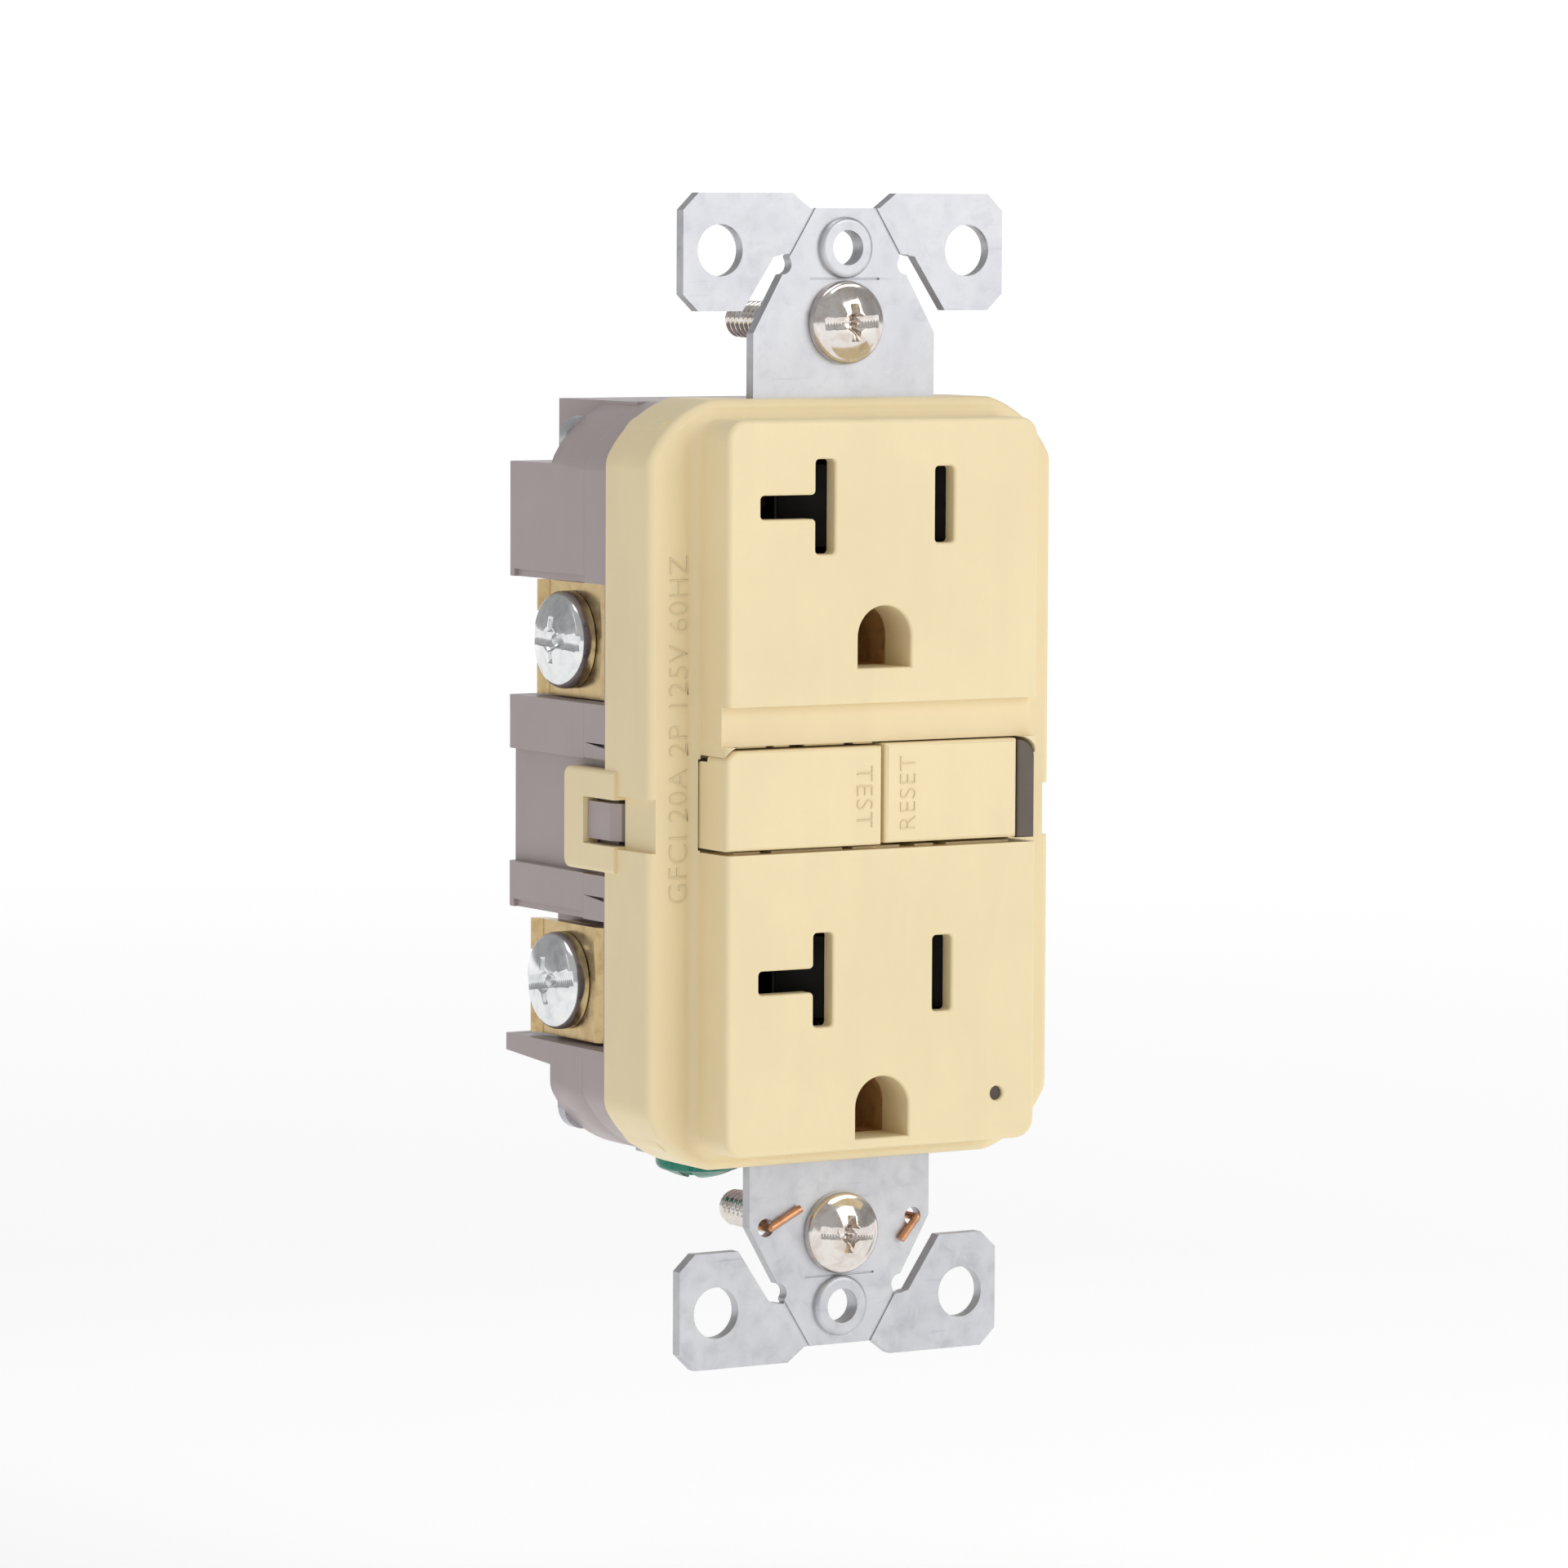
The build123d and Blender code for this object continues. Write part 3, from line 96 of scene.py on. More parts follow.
class Shader:
    """A principled material with short helpers for its node tree."""

    def __init__(self, name, color, roughness, metallic=0.0, **sockets):
        self.material = bpy.data.materials.new(name)
        self.material.use_nodes = True
        self.tree = self.material.node_tree
        self.bsdf = self.tree.nodes["Principled BSDF"]
        self.set("Base Color", (*color, 1.0))
        self.set("Roughness", roughness)
        self.set("Metallic", metallic)
        for socket, value in sockets.items():
            self.set(socket.replace("_", " "), value)
        self.coords = self.tree.nodes.new("ShaderNodeTexCoord").outputs["Object"]
        self.height = None

    def set(self, socket, value):
        self.bsdf.inputs[socket].default_value = value

    def link(self, a, b):
        self.tree.links.new(a, b)

    def mapped(self, stretch=(1, 1, 1)):
        node = self.tree.nodes.new("ShaderNodeMapping")
        node.inputs["Scale"].default_value = stretch
        self.link(self.coords, node.inputs["Vector"])
        return node.outputs["Vector"]

    def noise(self, scale, detail=3.0, rough=0.55, stretch=(1, 1, 1), distortion=0.0):
        node = self.tree.nodes.new("ShaderNodeTexNoise")
        node.inputs["Scale"].default_value = scale
        node.inputs["Detail"].default_value = detail
        node.inputs["Roughness"].default_value = rough
        node.inputs["Distortion"].default_value = distortion
        self.link(self.mapped(stretch), node.inputs["Vector"])
        return node.outputs["Fac"]

    def voronoi(self, scale, stretch=(1, 1, 1)):
        node = self.tree.nodes.new("ShaderNodeTexVoronoi")
        node.inputs["Scale"].default_value = scale
        self.link(self.mapped(stretch), node.inputs["Vector"])
        return node.outputs["Distance"]

    def ramp(self, value, stops):
        """A colour ramp; stops are (position, colour)."""
        node = self.tree.nodes.new("ShaderNodeValToRGB")
        set_stops(node, stops)
        self.link(value, node.inputs["Fac"])
        return node.outputs["Color"]

    def span(self, value, low, high, start=0.3, end=0.7):
        """Map a texture value to a range."""
        node = self.tree.nodes.new("ShaderNodeMapRange")
        node.inputs["From Min"].default_value = start
        node.inputs["From Max"].default_value = end
        node.inputs["To Min"].default_value = low
        node.inputs["To Max"].default_value = high
        self.link(value, node.inputs["Value"])
        return node.outputs["Result"]

    def mix(self, factor, a, b, blend="MIX"):
        node = self.tree.nodes.new("ShaderNodeMix")
        node.data_type = "RGBA"
        node.blend_type = blend
        for socket, value in (("Factor", factor), ("A", a), ("B", b)):
            port = [i for i in node.inputs if i.name == socket and i.enabled][0]
            if hasattr(value, "is_linked"):
                self.link(value, port)
            else:
                port.default_value = value
        return [o for o in node.outputs if o.enabled][0]

    def color(self, output):
        self.link(output, self.bsdf.inputs["Base Color"])

    def roughness(self, output):
        self.link(output, self.bsdf.inputs["Roughness"])

    def bump(self, value, strength, distance):
        node = self.tree.nodes.new("ShaderNodeBump")
        node.inputs["Strength"].default_value = strength
        node.inputs["Distance"].default_value = distance
        self.link(value, node.inputs["Height"])
        if self.height is not None:
            self.link(self.height, node.inputs["Normal"])
        self.height = node.outputs["Normal"]
        self.link(self.height, self.bsdf.inputs["Normal"])


def scaled(color, factor):
    """A lighter or darker colour."""
    return tuple(min(1.0, c * factor) for c in color)


def moulded_plastic(name, color, roughness=0.36, grain=0.12, subsurface=0.0, shine=0.3):
    """Moulded plastic: slow tone drift, flow marks, fine grain and tiny pits."""
    shader = Shader(name, color, roughness, IOR=1.5, Specular_IOR_Level=shine)
    if subsurface:
        shader.set("Subsurface Weight", subsurface)
        shader.set("Subsurface Radius", (1.0, 0.7, 0.4))
        shader.set("Subsurface Scale", 0.0012)
    drift = shader.noise(55, 3, 0.5)
    flow = shader.noise(260, 4, 0.6, (1, 1, 0.25), 0.6)
    tone = shader.ramp(drift, [(0.3, scaled(color, 0.965)), (0.7, scaled(color, 1.025))])
    streak = shader.ramp(flow, [(0.35, (0.975, 0.975, 0.975)), (0.65, (1.0, 1.0, 1.0))])
    shader.color(shader.mix(1.0, tone, streak, "MULTIPLY"))
    shader.roughness(shader.span(shader.noise(420, 4), roughness - 0.06, roughness + 0.07))
    shader.bump(shader.noise(90, 2), 0.10, 0.00012)
    shader.bump(shader.noise(5200, 2, 0.6), grain, 0.00002)
    return shader.material


def plated_sheet(name, color, roughness=0.4):
    """Zinc-plated sheet: soft mottling, faint rolling lines, scuffs and small stains."""
    shader = Shader(name, color, roughness, 0.75)
    mottle = shader.noise(520, 5, 0.62, (1, 1, 1), 0.4)
    cloud = shader.noise(110, 4, 0.6)
    patch = shader.voronoi(620, (1.0, 1.0, 0.8))
    mottle_stops = [(0.32, scaled(color, 0.86)), (0.5, color), (0.72, scaled(color, 1.08))]
    base = shader.ramp(mottle, mottle_stops)
    veil = shader.ramp(cloud, [(0.35, (0.90, 0.90, 0.92)), (0.65, (1.0, 1.0, 1.0))])
    base = shader.mix(1.0, base, veil, "MULTIPLY")
    tone = shader.ramp(patch, [(0.15, (0.95, 0.95, 0.96)), (0.6, (1.0, 1.0, 1.0))])
    base = shader.mix(1.0, base, tone, "MULTIPLY")
    scuff = shader.ramp(
        shader.noise(900, 2, 0.5, (0.12, 1, 1.6)), [(0.66, (1, 1, 1)), (0.74, (0.86, 0.87, 0.90))]
    )
    shader.color(shader.mix(1.0, base, scuff, "MULTIPLY"))
    shader.roughness(shader.span(mottle, roughness - 0.08, roughness + 0.12))
    shader.bump(shader.noise(2600, 3, 0.6, (0.3, 1, 1)), 0.12, 0.00002)
    shader.bump(mottle, 0.10, 0.00004)
    return shader.material


def turned_metal(name, color, roughness=0.2, wear=0.25, tint=None, metallic=1.0):
    """Plated or bare metal with polishing haze, fine scratches and darker specks."""
    shader = Shader(name, color, roughness, metallic)
    tint = tint or scaled(color, 0.82)
    haze = shader.noise(700, 4, 0.6, (1, 1, 1), 0.5)
    base = shader.ramp(haze, [(0.3, tint), (0.55, color), (0.8, scaled(color, 1.06))])
    specks = shader.ramp(shader.voronoi(1600), [(0.03, scaled(color, 0.45)), (0.09, (1, 1, 1))])
    shader.color(shader.mix(wear, base, specks, "MULTIPLY"))
    shader.roughness(shader.span(haze, roughness - 0.03, roughness + 0.07))
    shader.bump(shader.noise(3200, 3, 0.6, (0.4, 0.4, 2.2)), 0.06, 0.00002)
    shader.bump(shader.noise(380, 2), 0.12, 0.00005)
    return shader.material


def clear_plastic(name, color, roughness, transmission):
    """Smoked or clear plastic with a faint tone drift."""
    shader = Shader(name, color, roughness, IOR=1.49)
    shader.set("Transmission Weight", transmission)
    shader.roughness(shader.span(shader.noise(600, 3), roughness, roughness + 0.1))
    tone = shader.ramp(shader.noise(300, 3), [(0.3, scaled(color, 0.9)), (0.7, scaled(color, 1.1))])
    shader.color(tone)
    shader.bump(shader.noise(900, 2), 0.05, 0.00003)
    return shader.material


IVORY = (0.87, 0.73, 0.453)
HOUSING = (0.425, 0.362, 0.358)

MATERIALS = {
    "cover_plastic": moulded_plastic("cover_plastic", IVORY, 0.38, 0.10, 0.08),
    "button_plastic": moulded_plastic("button_plastic", scaled(IVORY, 1.01), 0.36, 0.10, 0.08),
    "housing_plastic": moulded_plastic("housing_plastic", HOUSING, 0.36, 0.14),
    "shutter_plastic": moulded_plastic(
        "shutter_plastic", (0.006, 0.005, 0.005), 0.5, 0.2, shine=0.15
    ),
    "black_plastic": moulded_plastic("black_plastic", (0.02, 0.02, 0.022), 0.4, 0.3),
    "fibre": moulded_plastic("fibre", (0.30, 0.07, 0.04), 0.75, 0.5),
    "board_laminate": moulded_plastic("board_laminate", (0.02, 0.10, 0.035), 0.3, 0.2),
    "insulated_wire": moulded_plastic("insulated_wire", (0.75, 0.75, 0.75), 0.4, 0.1),
    "component_yellow": moulded_plastic("component_yellow", (0.62, 0.36, 0.04), 0.35, 0.1),
    "component_blue": moulded_plastic("component_blue", (0.02, 0.06, 0.30), 0.3, 0.1),
    "component_tan": moulded_plastic("component_tan", (0.52, 0.35, 0.18), 0.35, 0.1),
    "component_clear": moulded_plastic("component_clear", (0.8, 0.8, 0.78), 0.2, 0.05),
    "smoked_lens": clear_plastic("smoked_lens", (0.125, 0.095, 0.075), 0.16, 0.12),
    "clear_lens": clear_plastic("clear_lens", (0.10, 0.07, 0.05), 0.15, 0.3),
    "zinc_steel": plated_sheet("zinc_steel", (0.60, 0.605, 0.625), 0.42),
    "nickel_steel": turned_metal("nickel_steel", (0.76, 0.72, 0.68), 0.10, 0.1, (0.62, 0.54, 0.48)),
    "silver_steel": turned_metal(
        "silver_steel", (0.84, 0.85, 0.85), 0.13, 0.12, (0.66, 0.69, 0.70)
    ),
    "bright_steel": turned_metal("bright_steel", (0.62, 0.62, 0.63), 0.25, 0.2),
    "spring_steel": turned_metal("spring_steel", (0.50, 0.50, 0.52), 0.3, 0.2),
    "core_alloy": turned_metal("core_alloy", (0.25, 0.25, 0.27), 0.4, 0.2),
    "brass": turned_metal("brass", (0.60, 0.45, 0.235), 0.20, 0.08, (0.44, 0.305, 0.14)),
    "bronze": turned_metal("bronze", (0.74, 0.47, 0.20), 0.32, 0.15, (0.58, 0.35, 0.14), 0.45),
    "copper": turned_metal("copper", (0.66, 0.34, 0.19), 0.3, 0.3, (0.42, 0.20, 0.12)),
    "enamelled_copper": turned_metal("enamelled_copper", (0.50, 0.18, 0.06), 0.2, 0.1),
    "green_plated_steel": turned_metal(
        "green_plated_steel", (0.045, 0.21, 0.145), 0.26, 0.4, (0.025, 0.13, 0.09)
    ),
}

SLOTS = {entry["node"]: entry["material_slot"] for entry in frame["record"]["subparts"]}
for node_name, node in NODES.items():
    node.data.materials.clear()
    node.data.materials.append(MATERIALS[SLOTS[node_name]])


# ---------------------------------------------------------------- camera, light, floor

def aim(obj, location, forward, roll=0.0):
    """Point an object's -Z along forward, with its Y up."""
    forward = Vector(forward).normalized()
    right = forward.cross(Vector((0, 0, 1))).normalized()
    up = right.cross(forward)
    turned_right = math.cos(roll) * right + math.sin(roll) * up
    turned_up = -math.sin(roll) * right + math.cos(roll) * up
    basis = Matrix((turned_right, turned_up, -forward)).transposed()
    obj.matrix_world = Matrix.Translation(location) @ basis.to_4x4()


def add_camera():
    """The camera, in front of the object, to its left and a little above its middle."""
    data = bpy.data.cameras.new("camera")
    data.lens = CAMERA_LENS
    data.sensor_width = SENSOR_WIDTH
    data.clip_start = 0.01
    camera = bpy.data.objects.new("camera", data)
    bpy.context.scene.collection.objects.link(camera)
    yaw = math.radians(CAMERA_YAW)
    pitch = math.radians(CAMERA_PITCH)
    forward = (math.sin(yaw) * math.cos(pitch), math.cos(yaw) * math.cos(pitch), -math.sin(pitch))
    aim(camera, Vector(CAMERA_PLACE), forward, math.radians(CAMERA_ROLL))
    bpy.context.scene.camera = camera


def add_area(name, location, size, power):
    """A soft rectangular light that points at the object."""
    data = bpy.data.lights.new(name, "AREA")
    data.shape = "RECTANGLE"
    data.size = size[0]
    data.size_y = size[1]
    data.energy = power
    light = bpy.data.objects.new(name, data)
    bpy.context.scene.collection.objects.link(light)
    aim(light, Vector(location), -Vector(location))


def add_world():
    """A studio that is white behind the object and softer, darker towards the sides."""
    world = bpy.data.worlds.new("studio")
    bpy.context.scene.world = world
    world.use_nodes = True
    tree = world.node_tree
    background = tree.nodes["Background"]
    direction = tree.nodes.new("ShaderNodeTexCoord").outputs["Generated"]
    facing = tree.nodes.new("ShaderNodeVectorMath")
    facing.operation = "DOT_PRODUCT"
    facing.inputs[1].default_value = (0.52, 0.85, 0.0)
    tree.links.new(direction, facing.inputs[0])
    ramp = tree.nodes.new("ShaderNodeValToRGB")
    levels = ((0.0, 0.48), (0.42, 0.44), (0.58, 0.34), (0.95, 0.38), (0.985, 1.12))
    set_stops(ramp, [(position, (level, level, level * 1.005)) for position, level in levels])
    half = tree.nodes.new("ShaderNodeMapRange")
    half.inputs["From Min"].default_value = -1.0
    half.inputs["From Max"].default_value = 1.0
    tree.links.new(facing.outputs["Value"], half.inputs["Value"])
    tree.links.new(half.outputs["Result"], ramp.inputs["Fac"])
    tree.links.new(ramp.outputs["Color"], background.inputs["Color"])
    background.inputs["Strength"].default_value = 1.0


def add_floor():
    """A pale floor whose glow grows with distance, so that it meets the backdrop."""
    mesh = bpy.data.meshes.new("floor")
    signs = ((-1, -1), (1, -1), (1, 1), (-1, 1))
    corners = [(x * FLOOR_HALF, y * FLOOR_HALF, FLOOR_LEVEL) for x, y in signs]
    mesh.from_pydata(corners, [], [(0, 1, 2, 3)])
    floor = bpy.data.objects.new("floor", mesh)
    bpy.context.scene.collection.objects.link(floor)
    shader = Shader("floor", (0.88, 0.88, 0.88), 0.95)
    shader.set("Emission Color", (1.0, 1.0, 1.0, 1.0))
    distance = shader.tree.nodes.new("ShaderNodeVectorMath")
    distance.operation = "LENGTH"
    shader.link(shader.coords, distance.inputs[0])
    glow = shader.span(distance.outputs["Value"], 0.38, 0.72, 0.3, 1.4)
    shader.link(glow, shader.bsdf.inputs["Emission Strength"])
    shader.bump(shader.noise(40, 2), 0.02, 0.001)
    mesh.materials.append(shader.material)


add_camera()
add_world()
add_floor()
add_area("key", (0.55, -0.95, 0.45), (0.8, 0.8), 4.7)
add_area("top", (-0.1, -0.1, 0.95), (0.6, 0.6), 2.1)
add_area("strip", (-0.85, 0.12, 0.32), (0.10, 0.45), 0.10)
bpy.context.scene.view_settings.view_transform = "Standard"


# ---------------------------------------------------------------- shared mesh helpers

SHARP_ANGLE = 35.0


def soften(node, width):
    """Round the sharp edges of a CAD node with modifiers only."""
    weld = node.modifiers.new("weld", "WELD")
    weld.merge_threshold = 0.000002
    flat = node.modifiers.new("flat", "DECIMATE")
    flat.decimate_type = "DISSOLVE"
    flat.angle_limit = math.radians(0.6)
    bevel = node.modifiers.new("edge", "BEVEL")
    bevel.width = width
    bevel.segments = 2
    bevel.limit_method = "ANGLE"
    bevel.angle_limit = math.radians(SHARP_ANGLE)
    bevel.use_clamp_overlap = True
    bevel.harden_normals = True


for node_name, width in (
    ("mounting_strap", 0.00012),
    ("rear_housing", 0.00020),
    ("test_button", 0.00008),
    ("reset_button", 0.00008),
):
    soften(NODES[node_name], width)


def mark_sharp(bm):
    """Shade smooth, with the creased edges kept sharp."""
    limit = math.radians(SHARP_ANGLE)
    for face in bm.faces:
        face.smooth = True
    for edge in bm.edges:
        if len(edge.link_faces) == 2 and edge.calc_face_angle(0.0) > limit:
            edge.smooth = False


def new_object(name, bm, material=None):
    mesh = bpy.data.meshes.new(name)
    bm.to_mesh(mesh)
    bm.free()
    obj = bpy.data.objects.new(name, mesh)
    bpy.context.scene.collection.objects.link(obj)
    if material:
        mesh.materials.append(material)
    return obj


def lathe(profile, segments=72):
    """Turn a profile of (radius, height) points about Z; the ends lie on the axis."""
    bm = bmesh.new()
    rings = []
    for radius, height in profile:
        if radius < 1e-6:
            rings.append([bm.verts.new((0, 0, height))])
            continue
        ring = []
        for index in range(segments):
            angle = 2 * math.pi * index / segments
            ring.append(bm.verts.new((radius * math.cos(angle), radius * math.sin(angle), height)))
        rings.append(ring)
    for a, b in zip(rings, rings[1:]):
        for index in range(segments):
            after = (index + 1) % segments
            corners = (
                a[index % len(a)],
                a[after % len(a)],
                b[after % len(b)],
                b[index % len(b)],
            )
            bm.faces.new(list(dict.fromkeys(corners)))
    bmesh.ops.recalc_face_normals(bm, faces=bm.faces)
    return bm


def hull(points):
    """The convex solid round some points."""
    bm = bmesh.new()
    for point in points:
        bm.verts.new(point)
    bmesh.ops.convex_hull(bm, input=bm.verts)
    bmesh.ops.recalc_face_normals(bm, faces=bm.faces)
    return bm


def tapered(half_a, half_b, z_top, tip_a, tip_b, z_tip):
    """A block that narrows from a top rectangle to a tip rectangle."""
    points = []
    for sx in (-1, 1):
        for sy in (-1, 1):
            points.append((sx * half_a, sy * half_b, z_top))
            points.append((sx * tip_a, sy * tip_b, z_tip))
    return hull(points)


def diamond(half_x, half_y, z_top, tip, z_tip):
    """A four-pointed recess cutter that narrows to a small square tip."""
    points = []
    for x, y, z in ((half_x, half_y, z_top), (tip, tip, z_tip)):
        points += [(x, 0, z), (-x, 0, z), (0, y, z), (0, -y, z)]
    return hull(points)


def ribbed_slot(length, width, top, floor, ribs):
    """A slot cutter whose floor carries fine cross ribs."""
    outline = [(-length, top), (-length, floor)]
    pitch = 2 * length / ribs
    for index in range(ribs):
        x = -length + pitch * index
        outline.append((x + pitch * 0.5, floor + 0.07))
        outline.append((x + pitch, floor))
    outline.append((length, top))
    bm = bmesh.new()
    sides = []
    for sy in (-1, 1):
        sides.append([bm.verts.new((x, sy * width / 2, z)) for x, z in outline])
    bm.faces.new(sides[0])
    bm.faces.new(list(reversed(sides[1])))
    count = len(outline)
    for index in range(count):
        after = (index + 1) % count
        bm.faces.new((sides[0][index], sides[0][after], sides[1][after], sides[1][index]))
    bmesh.ops.recalc_face_normals(bm, faces=bm.faces)
    return bm


def carve(obj, cutters):
    """Cut solids out of an object, soften its edges and keep the result as its mesh."""
    tools = []
    for cutter in cutters:
        tool = new_object(obj.name + "_cut", cutter)
        tools.append(tool)
        modifier = obj.modifiers.new("cut", "BOOLEAN")
        modifier.object = tool
        modifier.operation = "DIFFERENCE"
        modifier.solver = "EXACT"
    bevel = obj.modifiers.new("edge", "BEVEL")
    bevel.width = 0.05
    bevel.segments = 2
    bevel.limit_method = "ANGLE"
    bevel.angle_limit = math.radians(38)
    graph = bpy.context.evaluated_depsgraph_get()
    mesh = bpy.data.meshes.new_from_object(obj.evaluated_get(graph))
    obj.modifiers.clear()
    obj.data = mesh
    for tool in tools:
        bpy.data.objects.remove(tool)


def head_mesh(name, radius, height, rim, shoulder, slot_width):
    """A domed combination head: slot with a ribbed floor and a cross recess."""
    profile = [(0, 0), (radius * 0.97, 0), (radius, 0.08), (radius, rim)]
    edge_r, edge_z = shoulder
    for index in range(1, SHOULDER_STEPS + 1):
        angle = index / SHOULDER_STEPS * math.pi / 2
        shoulder_r = radius - (radius - edge_r) * (1 - math.cos(angle))
        profile.append((shoulder_r, rim + (edge_z - rim) * math.sin(angle)))
    for index in range(1, CROWN_STEPS + 1):
        t = index / CROWN_STEPS
        profile.append((edge_r * (1 - t), edge_z + (height - edge_z) * (1 - (1 - t) ** 2)))
    head = new_object(name, lathe(profile))
    carve(
        head,
        [
            ribbed_slot(radius * 1.2, slot_width, height + 1, height - 0.95, 30),
            tapered(0.52, radius * 0.60, height + 0.3, 0.26, 0.55, height - 1.75),
            diamond(radius * 0.52, radius * 0.36, height + 0.3, 0.45, height - 1.7),
        ],
    )
    return head


def thread_mesh(core, crest, start, end, segments=40, per_turn=10):
    """A helical thread along -Z from start to end, tapering in at both ends."""
    bm = bmesh.new()
    length = end - start
    count = int(length / THREAD_PITCH * per_turn)
    rings = []
    for row in range(count + 1):
        depth = start + length * row / count
        fade = min(1.0, row / per_turn, (count - row) / (per_turn * 0.8) + 0.25)
        ring = []
        for index in range(segments):
            turn = index / segments
            phase = (depth / THREAD_PITCH - turn) % 1.0
            ridge = max(0.0, 1.0 - abs(phase - 0.5) / 0.42)
            radius = core + (crest - core) * min(1.0, ridge * 1.35) * fade
            if row == count:
                radius = core * 0.75
            angle = 2 * math.pi * turn
            ring.append(bm.verts.new((radius * math.cos(angle), radius * math.sin(angle), -depth)))
        rings.append(ring)
    for a, b in zip(rings, rings[1:]):
        for index in range(segments):
            after = (index + 1) % segments
            bm.faces.new((a[index], a[after], b[after], b[index]))
    bm.faces.new(rings[-1])
    bm.faces.new(list(reversed(rings[0])))
    bmesh.ops.recalc_face_normals(bm, faces=bm.faces)
    return bm


def build_screw(name, head, neck, thread, place, material):
    """Join head, neck and thread, move them to their place and scale to metres."""
    bm = bmesh.new()
    bm.from_mesh(head.data)
    for part in (neck, thread):
        scratch = bpy.data.meshes.new("scratch")
        part.to_mesh(scratch)
        part.free()
        bm.from_mesh(scratch)
        bpy.data.meshes.remove(scratch)
    mark_sharp(bm)
    bmesh.ops.transform(bm, matrix=Matrix.Scale(MM, 4) @ place, verts=bm.verts)
    bpy.data.objects.remove(head)
    return new_object(name, bm, material)


def along(origin, z_dir, x_dir):
    """A placement with local Z and X turned to the given directions."""
    z_axis = Vector(z_dir).normalized()
    x_axis = Vector(x_dir).normalized()
    y_axis = z_axis.cross(x_axis)
    basis = Matrix((x_axis, y_axis, z_axis)).transposed()
    return Matrix.Translation(origin) @ basis.to_4x4()


def neck_mesh(radius, length):
    """The plain part of a shank, from just inside the head."""
    return lathe([(0, 0.02), (radius, 0.02), (radius, -length), (0, -length)], 40)


def box_screw(name, z, tip, body, spin):
    """Nickel-plated mounting screw with a relieved neck."""
    head = head_mesh(name + "_head", 3.8, 2.2, 0.35, (3.35, 1.0), 1.05)
    neck = neck_mesh(1.4, 1.4)
    thread = thread_mesh(*BOX_THREAD, 1.25, tip + 1.2)
    place = along((0, BOX_HEAD_SEAT_Y, z), (0, -1, 0), (math.cos(spin), 0, math.sin(spin)))
    piece = build_screw(name, head, neck, thread, place, MATERIALS["nickel_steel"])
    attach(piece, body)
    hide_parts(name.replace("_screw_detail", "_mounting_screw"))


def terminal_screw(level, kind, side, z, seat, spin):
    """Side terminal screw: silver on the neutral side, brass on the hot side."""
    head = head_mesh("head", 4.5, 2.5, 0.85, (3.75, 1.85), 1.35)
    neck = neck_mesh(1.75, 0.8)
    thread = thread_mesh(*TERMINAL_THREAD, 0.6, 6.0)
    origin = (side * (seat + 0.01), TERMINAL_SCREW_Y, z)
    place = along(origin, (side, 0, 0), (0, math.cos(spin), math.sin(spin)))
    material = "silver_steel" if side < 0 else "brass"
    piece = build_screw(
        level + "_" + kind + "_screw_detail", head, neck, thread, place, MATERIALS[material]
    )
    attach(piece, level + "_" + kind + "_screw")
    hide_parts(level + "_" + kind + "_terminal_screw")


def ground_screw():
    """Green grounding screw on the strap's tab, with its head down."""
    head = head_mesh("head", 4.0, 2.2, 0.6, (3.4, 1.3), 1.25)
    neck = neck_mesh(1.75, 0.8)
    thread = thread_mesh(*TERMINAL_THREAD, 0.6, 6.2)
    place = along(GROUND_SCREW_PLACE, (0, 0, -1), (0.8, 0.6, 0))
    material = MATERIALS["green_plated_steel"]
    piece = build_screw("ground_screw_detail", head, neck, thread, place, material)
    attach(piece, "ground_screw_turn")
    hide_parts("ground_screw")


box_screw("top_screw_detail", BOX_SCREW_Z, 17.6, "top_screw_turn", math.radians(3))
box_screw("bottom_screw_detail", -BOX_SCREW_Z, 18.0, "bottom_screw_turn", math.radians(-5))
for kind, side in (("neutral", -1), ("hot", 1)):
    terminal_screw("upper", kind, side, UPPER_SCREW_Z, UPPER_SEAT_X, math.radians(2))
    terminal_screw("lower", kind, side, LOWER_SCREW_Z, LOWER_SEAT_X, math.radians(-8))
ground_screw()


# ---------------------------------------------------------------- coil springs

COIL_STEPS = 32
WIRE_SIDES = 12
END_CLOSING = 0.25
# Node, its joint, axis, fixed end (0 low, 1 high), and then
# the joint's travel and the wire's radius in metres, and the number of turns
SPRINGS = (
    ("test_spring", "test_press", 1, 1, 0.0012, 0.00022, 4),
    ("reset_spring", "reset_press", 1, 1, 0.0016, 0.00022, 4),
    ("upper_shutter_spring", "upper_shutter_slide", 0, 1, 0.0036, 0.00013, 9),
    ("lower_shutter_spring", "lower_shutter_slide", 0, 1, 0.0036, 0.00013, 9),
    ("plunger_spring", "plunger_pull", 2, 0, 0.002, 0.0002, 4),
)


def unit(axis):
    """The direction of an axis number."""
    return Vector([float(i == axis) for i in range(3)])


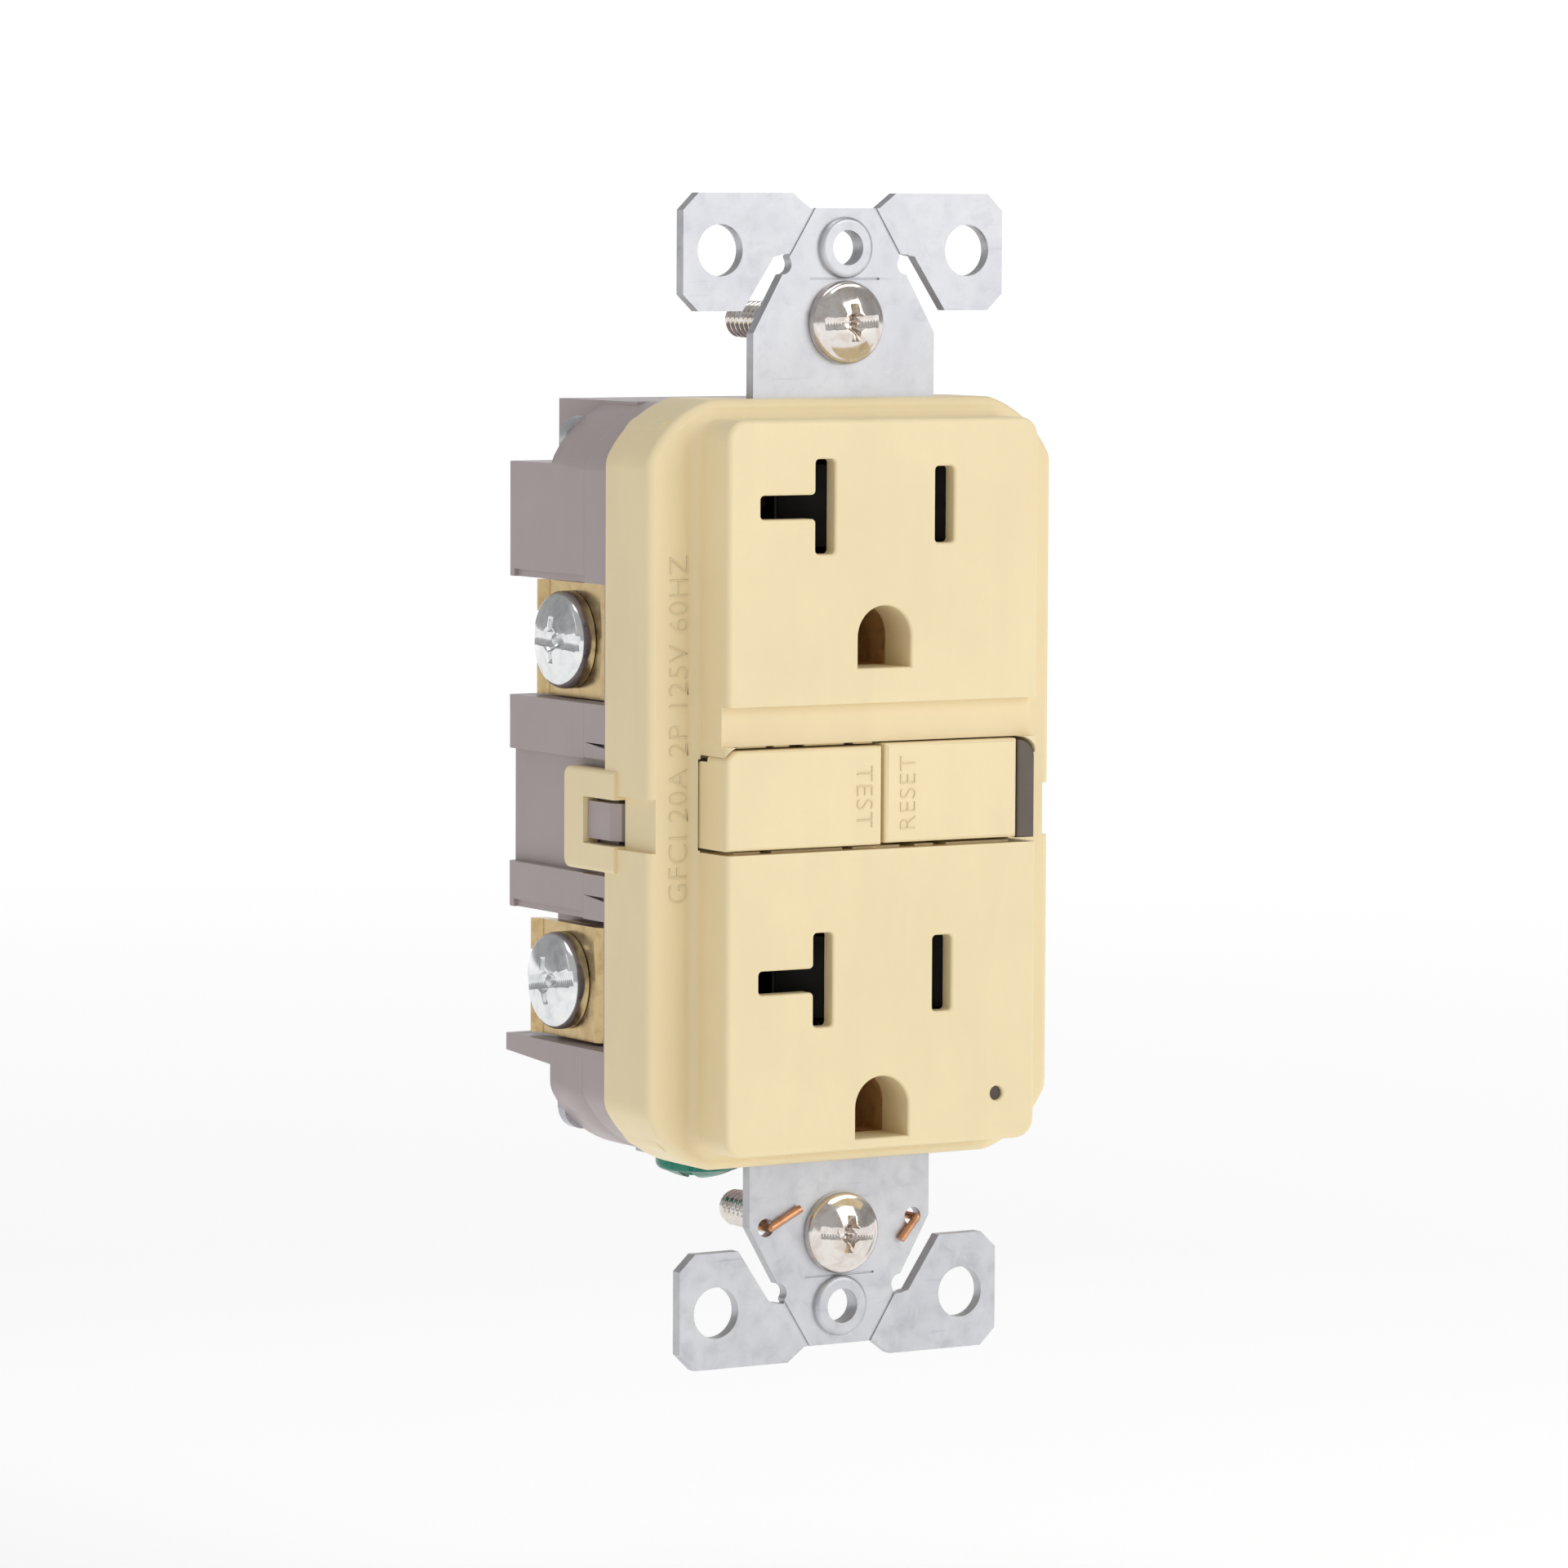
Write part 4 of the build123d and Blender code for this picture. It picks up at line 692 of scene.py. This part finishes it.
def spring(node_name, joint, axis, fixed_end, travel, wire, turns):
    """A coil spring in its node's space, shown in place of the node."""
    low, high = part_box(node_name)
    middle = (low + high) / 2
    direction = unit(axis)
    first = unit((axis + 1) % 3)
    second = direction.cross(first)
    length = (high - low)[axis]
    radius = (high - low)[(axis + 1) % 3] / 2 - wire
    section = [2 * math.pi * side / WIRE_SIDES for side in range(WIRE_SIDES)]
    bm = bmesh.new()
    rings = []
    steps = turns * COIL_STEPS
    for step in range(steps + 1):
        share = step / steps
        closing = END_CLOSING * math.sin(2 * math.pi * share) / (2 * math.pi)
        angle = 2 * math.pi * turns * share
        outward = math.cos(angle) * first + math.sin(angle) * second
        height = (share - closing - 0.5) * (length - 2 * wire)
        centre = middle + radius * outward + height * direction
        ring = []
        for turn in section:
            offset = math.cos(turn) * outward + math.sin(turn) * direction
            ring.append(bm.verts.new(centre + wire * offset))
        rings.append(ring)
    for ring, following in zip(rings, rings[1:]):
        for side in range(WIRE_SIDES):
            beside = (side + 1) % WIRE_SIDES
            bm.faces.new((ring[side], ring[beside], following[beside], following[side]))
    bm.faces.new(rings[0])
    bm.faces.new(rings[-1])
    bmesh.ops.recalc_face_normals(bm, faces=bm.faces)
    mark_sharp(bm)
    piece = new_object(node_name + "_coil", bm, MATERIALS["spring_steel"])
    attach(piece, "frame")
    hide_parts(node_name)
    anchor = middle.copy()
    anchor[axis] = (low, high)[fixed_end][axis]
    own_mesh(piece)


for row in SPRINGS:
    spring(*row)


# ---------------------------------------------------------------- raised letters

# The letters are the cover's ivory darkened to 0.86: painted shade that stands in for the shading
# along the raised letters' edges
LETTER_SHADE_MATERIAL = moulded_plastic("letter_painted_shade_plastic", scaled(IVORY, 0.86), 0.42, 0.08)
LETTER_RAISE = 0.07
LETTER_THINNING = 0.08
UP = (0, 0, 1)
DOWN = (0, 0, -1)
FRONT = (0, -1, 0)


def lettering(name, text, size, place, body):
    """Raised letters as a mesh: local X runs along the text, local Z out of the surface."""
    curve = bpy.data.curves.new(name, "FONT")
    curve.body = text
    curve.size = size
    curve.align_x = "CENTER"
    curve.align_y = "CENTER"
    curve.extrude = LETTER_RAISE
    curve.bevel_depth = 0.03
    curve.bevel_resolution = 1
    curve.offset = -LETTER_THINNING
    curve.space_character = 1.06
    curve.resolution_u = 6
    holder = bpy.data.objects.new(name, curve)
    bpy.context.scene.collection.objects.link(holder)
    graph = bpy.context.evaluated_depsgraph_get()
    mesh = bpy.data.meshes.new_from_object(holder.evaluated_get(graph))
    bpy.data.objects.remove(holder)
    mesh.transform(Matrix.Scale(MM, 4) @ place)
    mesh.materials.clear()
    mesh.materials.append(LETTER_SHADE_MATERIAL)
    piece = bpy.data.objects.new(name, mesh)
    bpy.context.scene.collection.objects.link(piece)
    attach(piece, body)


for name, text, size, x, y, z, up, body in (
    ("test_label", "TEST", 2.55, -2.1, -8.38, -1.0, DOWN, "test"),
    ("reset_label", "RESET", 2.5, 2.68, -8.38, -0.85, UP, "reset"),
    ("rating_label", "GFCI 20A 2P 125V 60HZ", 2.86, -18.3, -3.0, 5.2, UP, "frame"),
):
    lettering(name, text, size, along((x, y, z), FRONT, up), body)
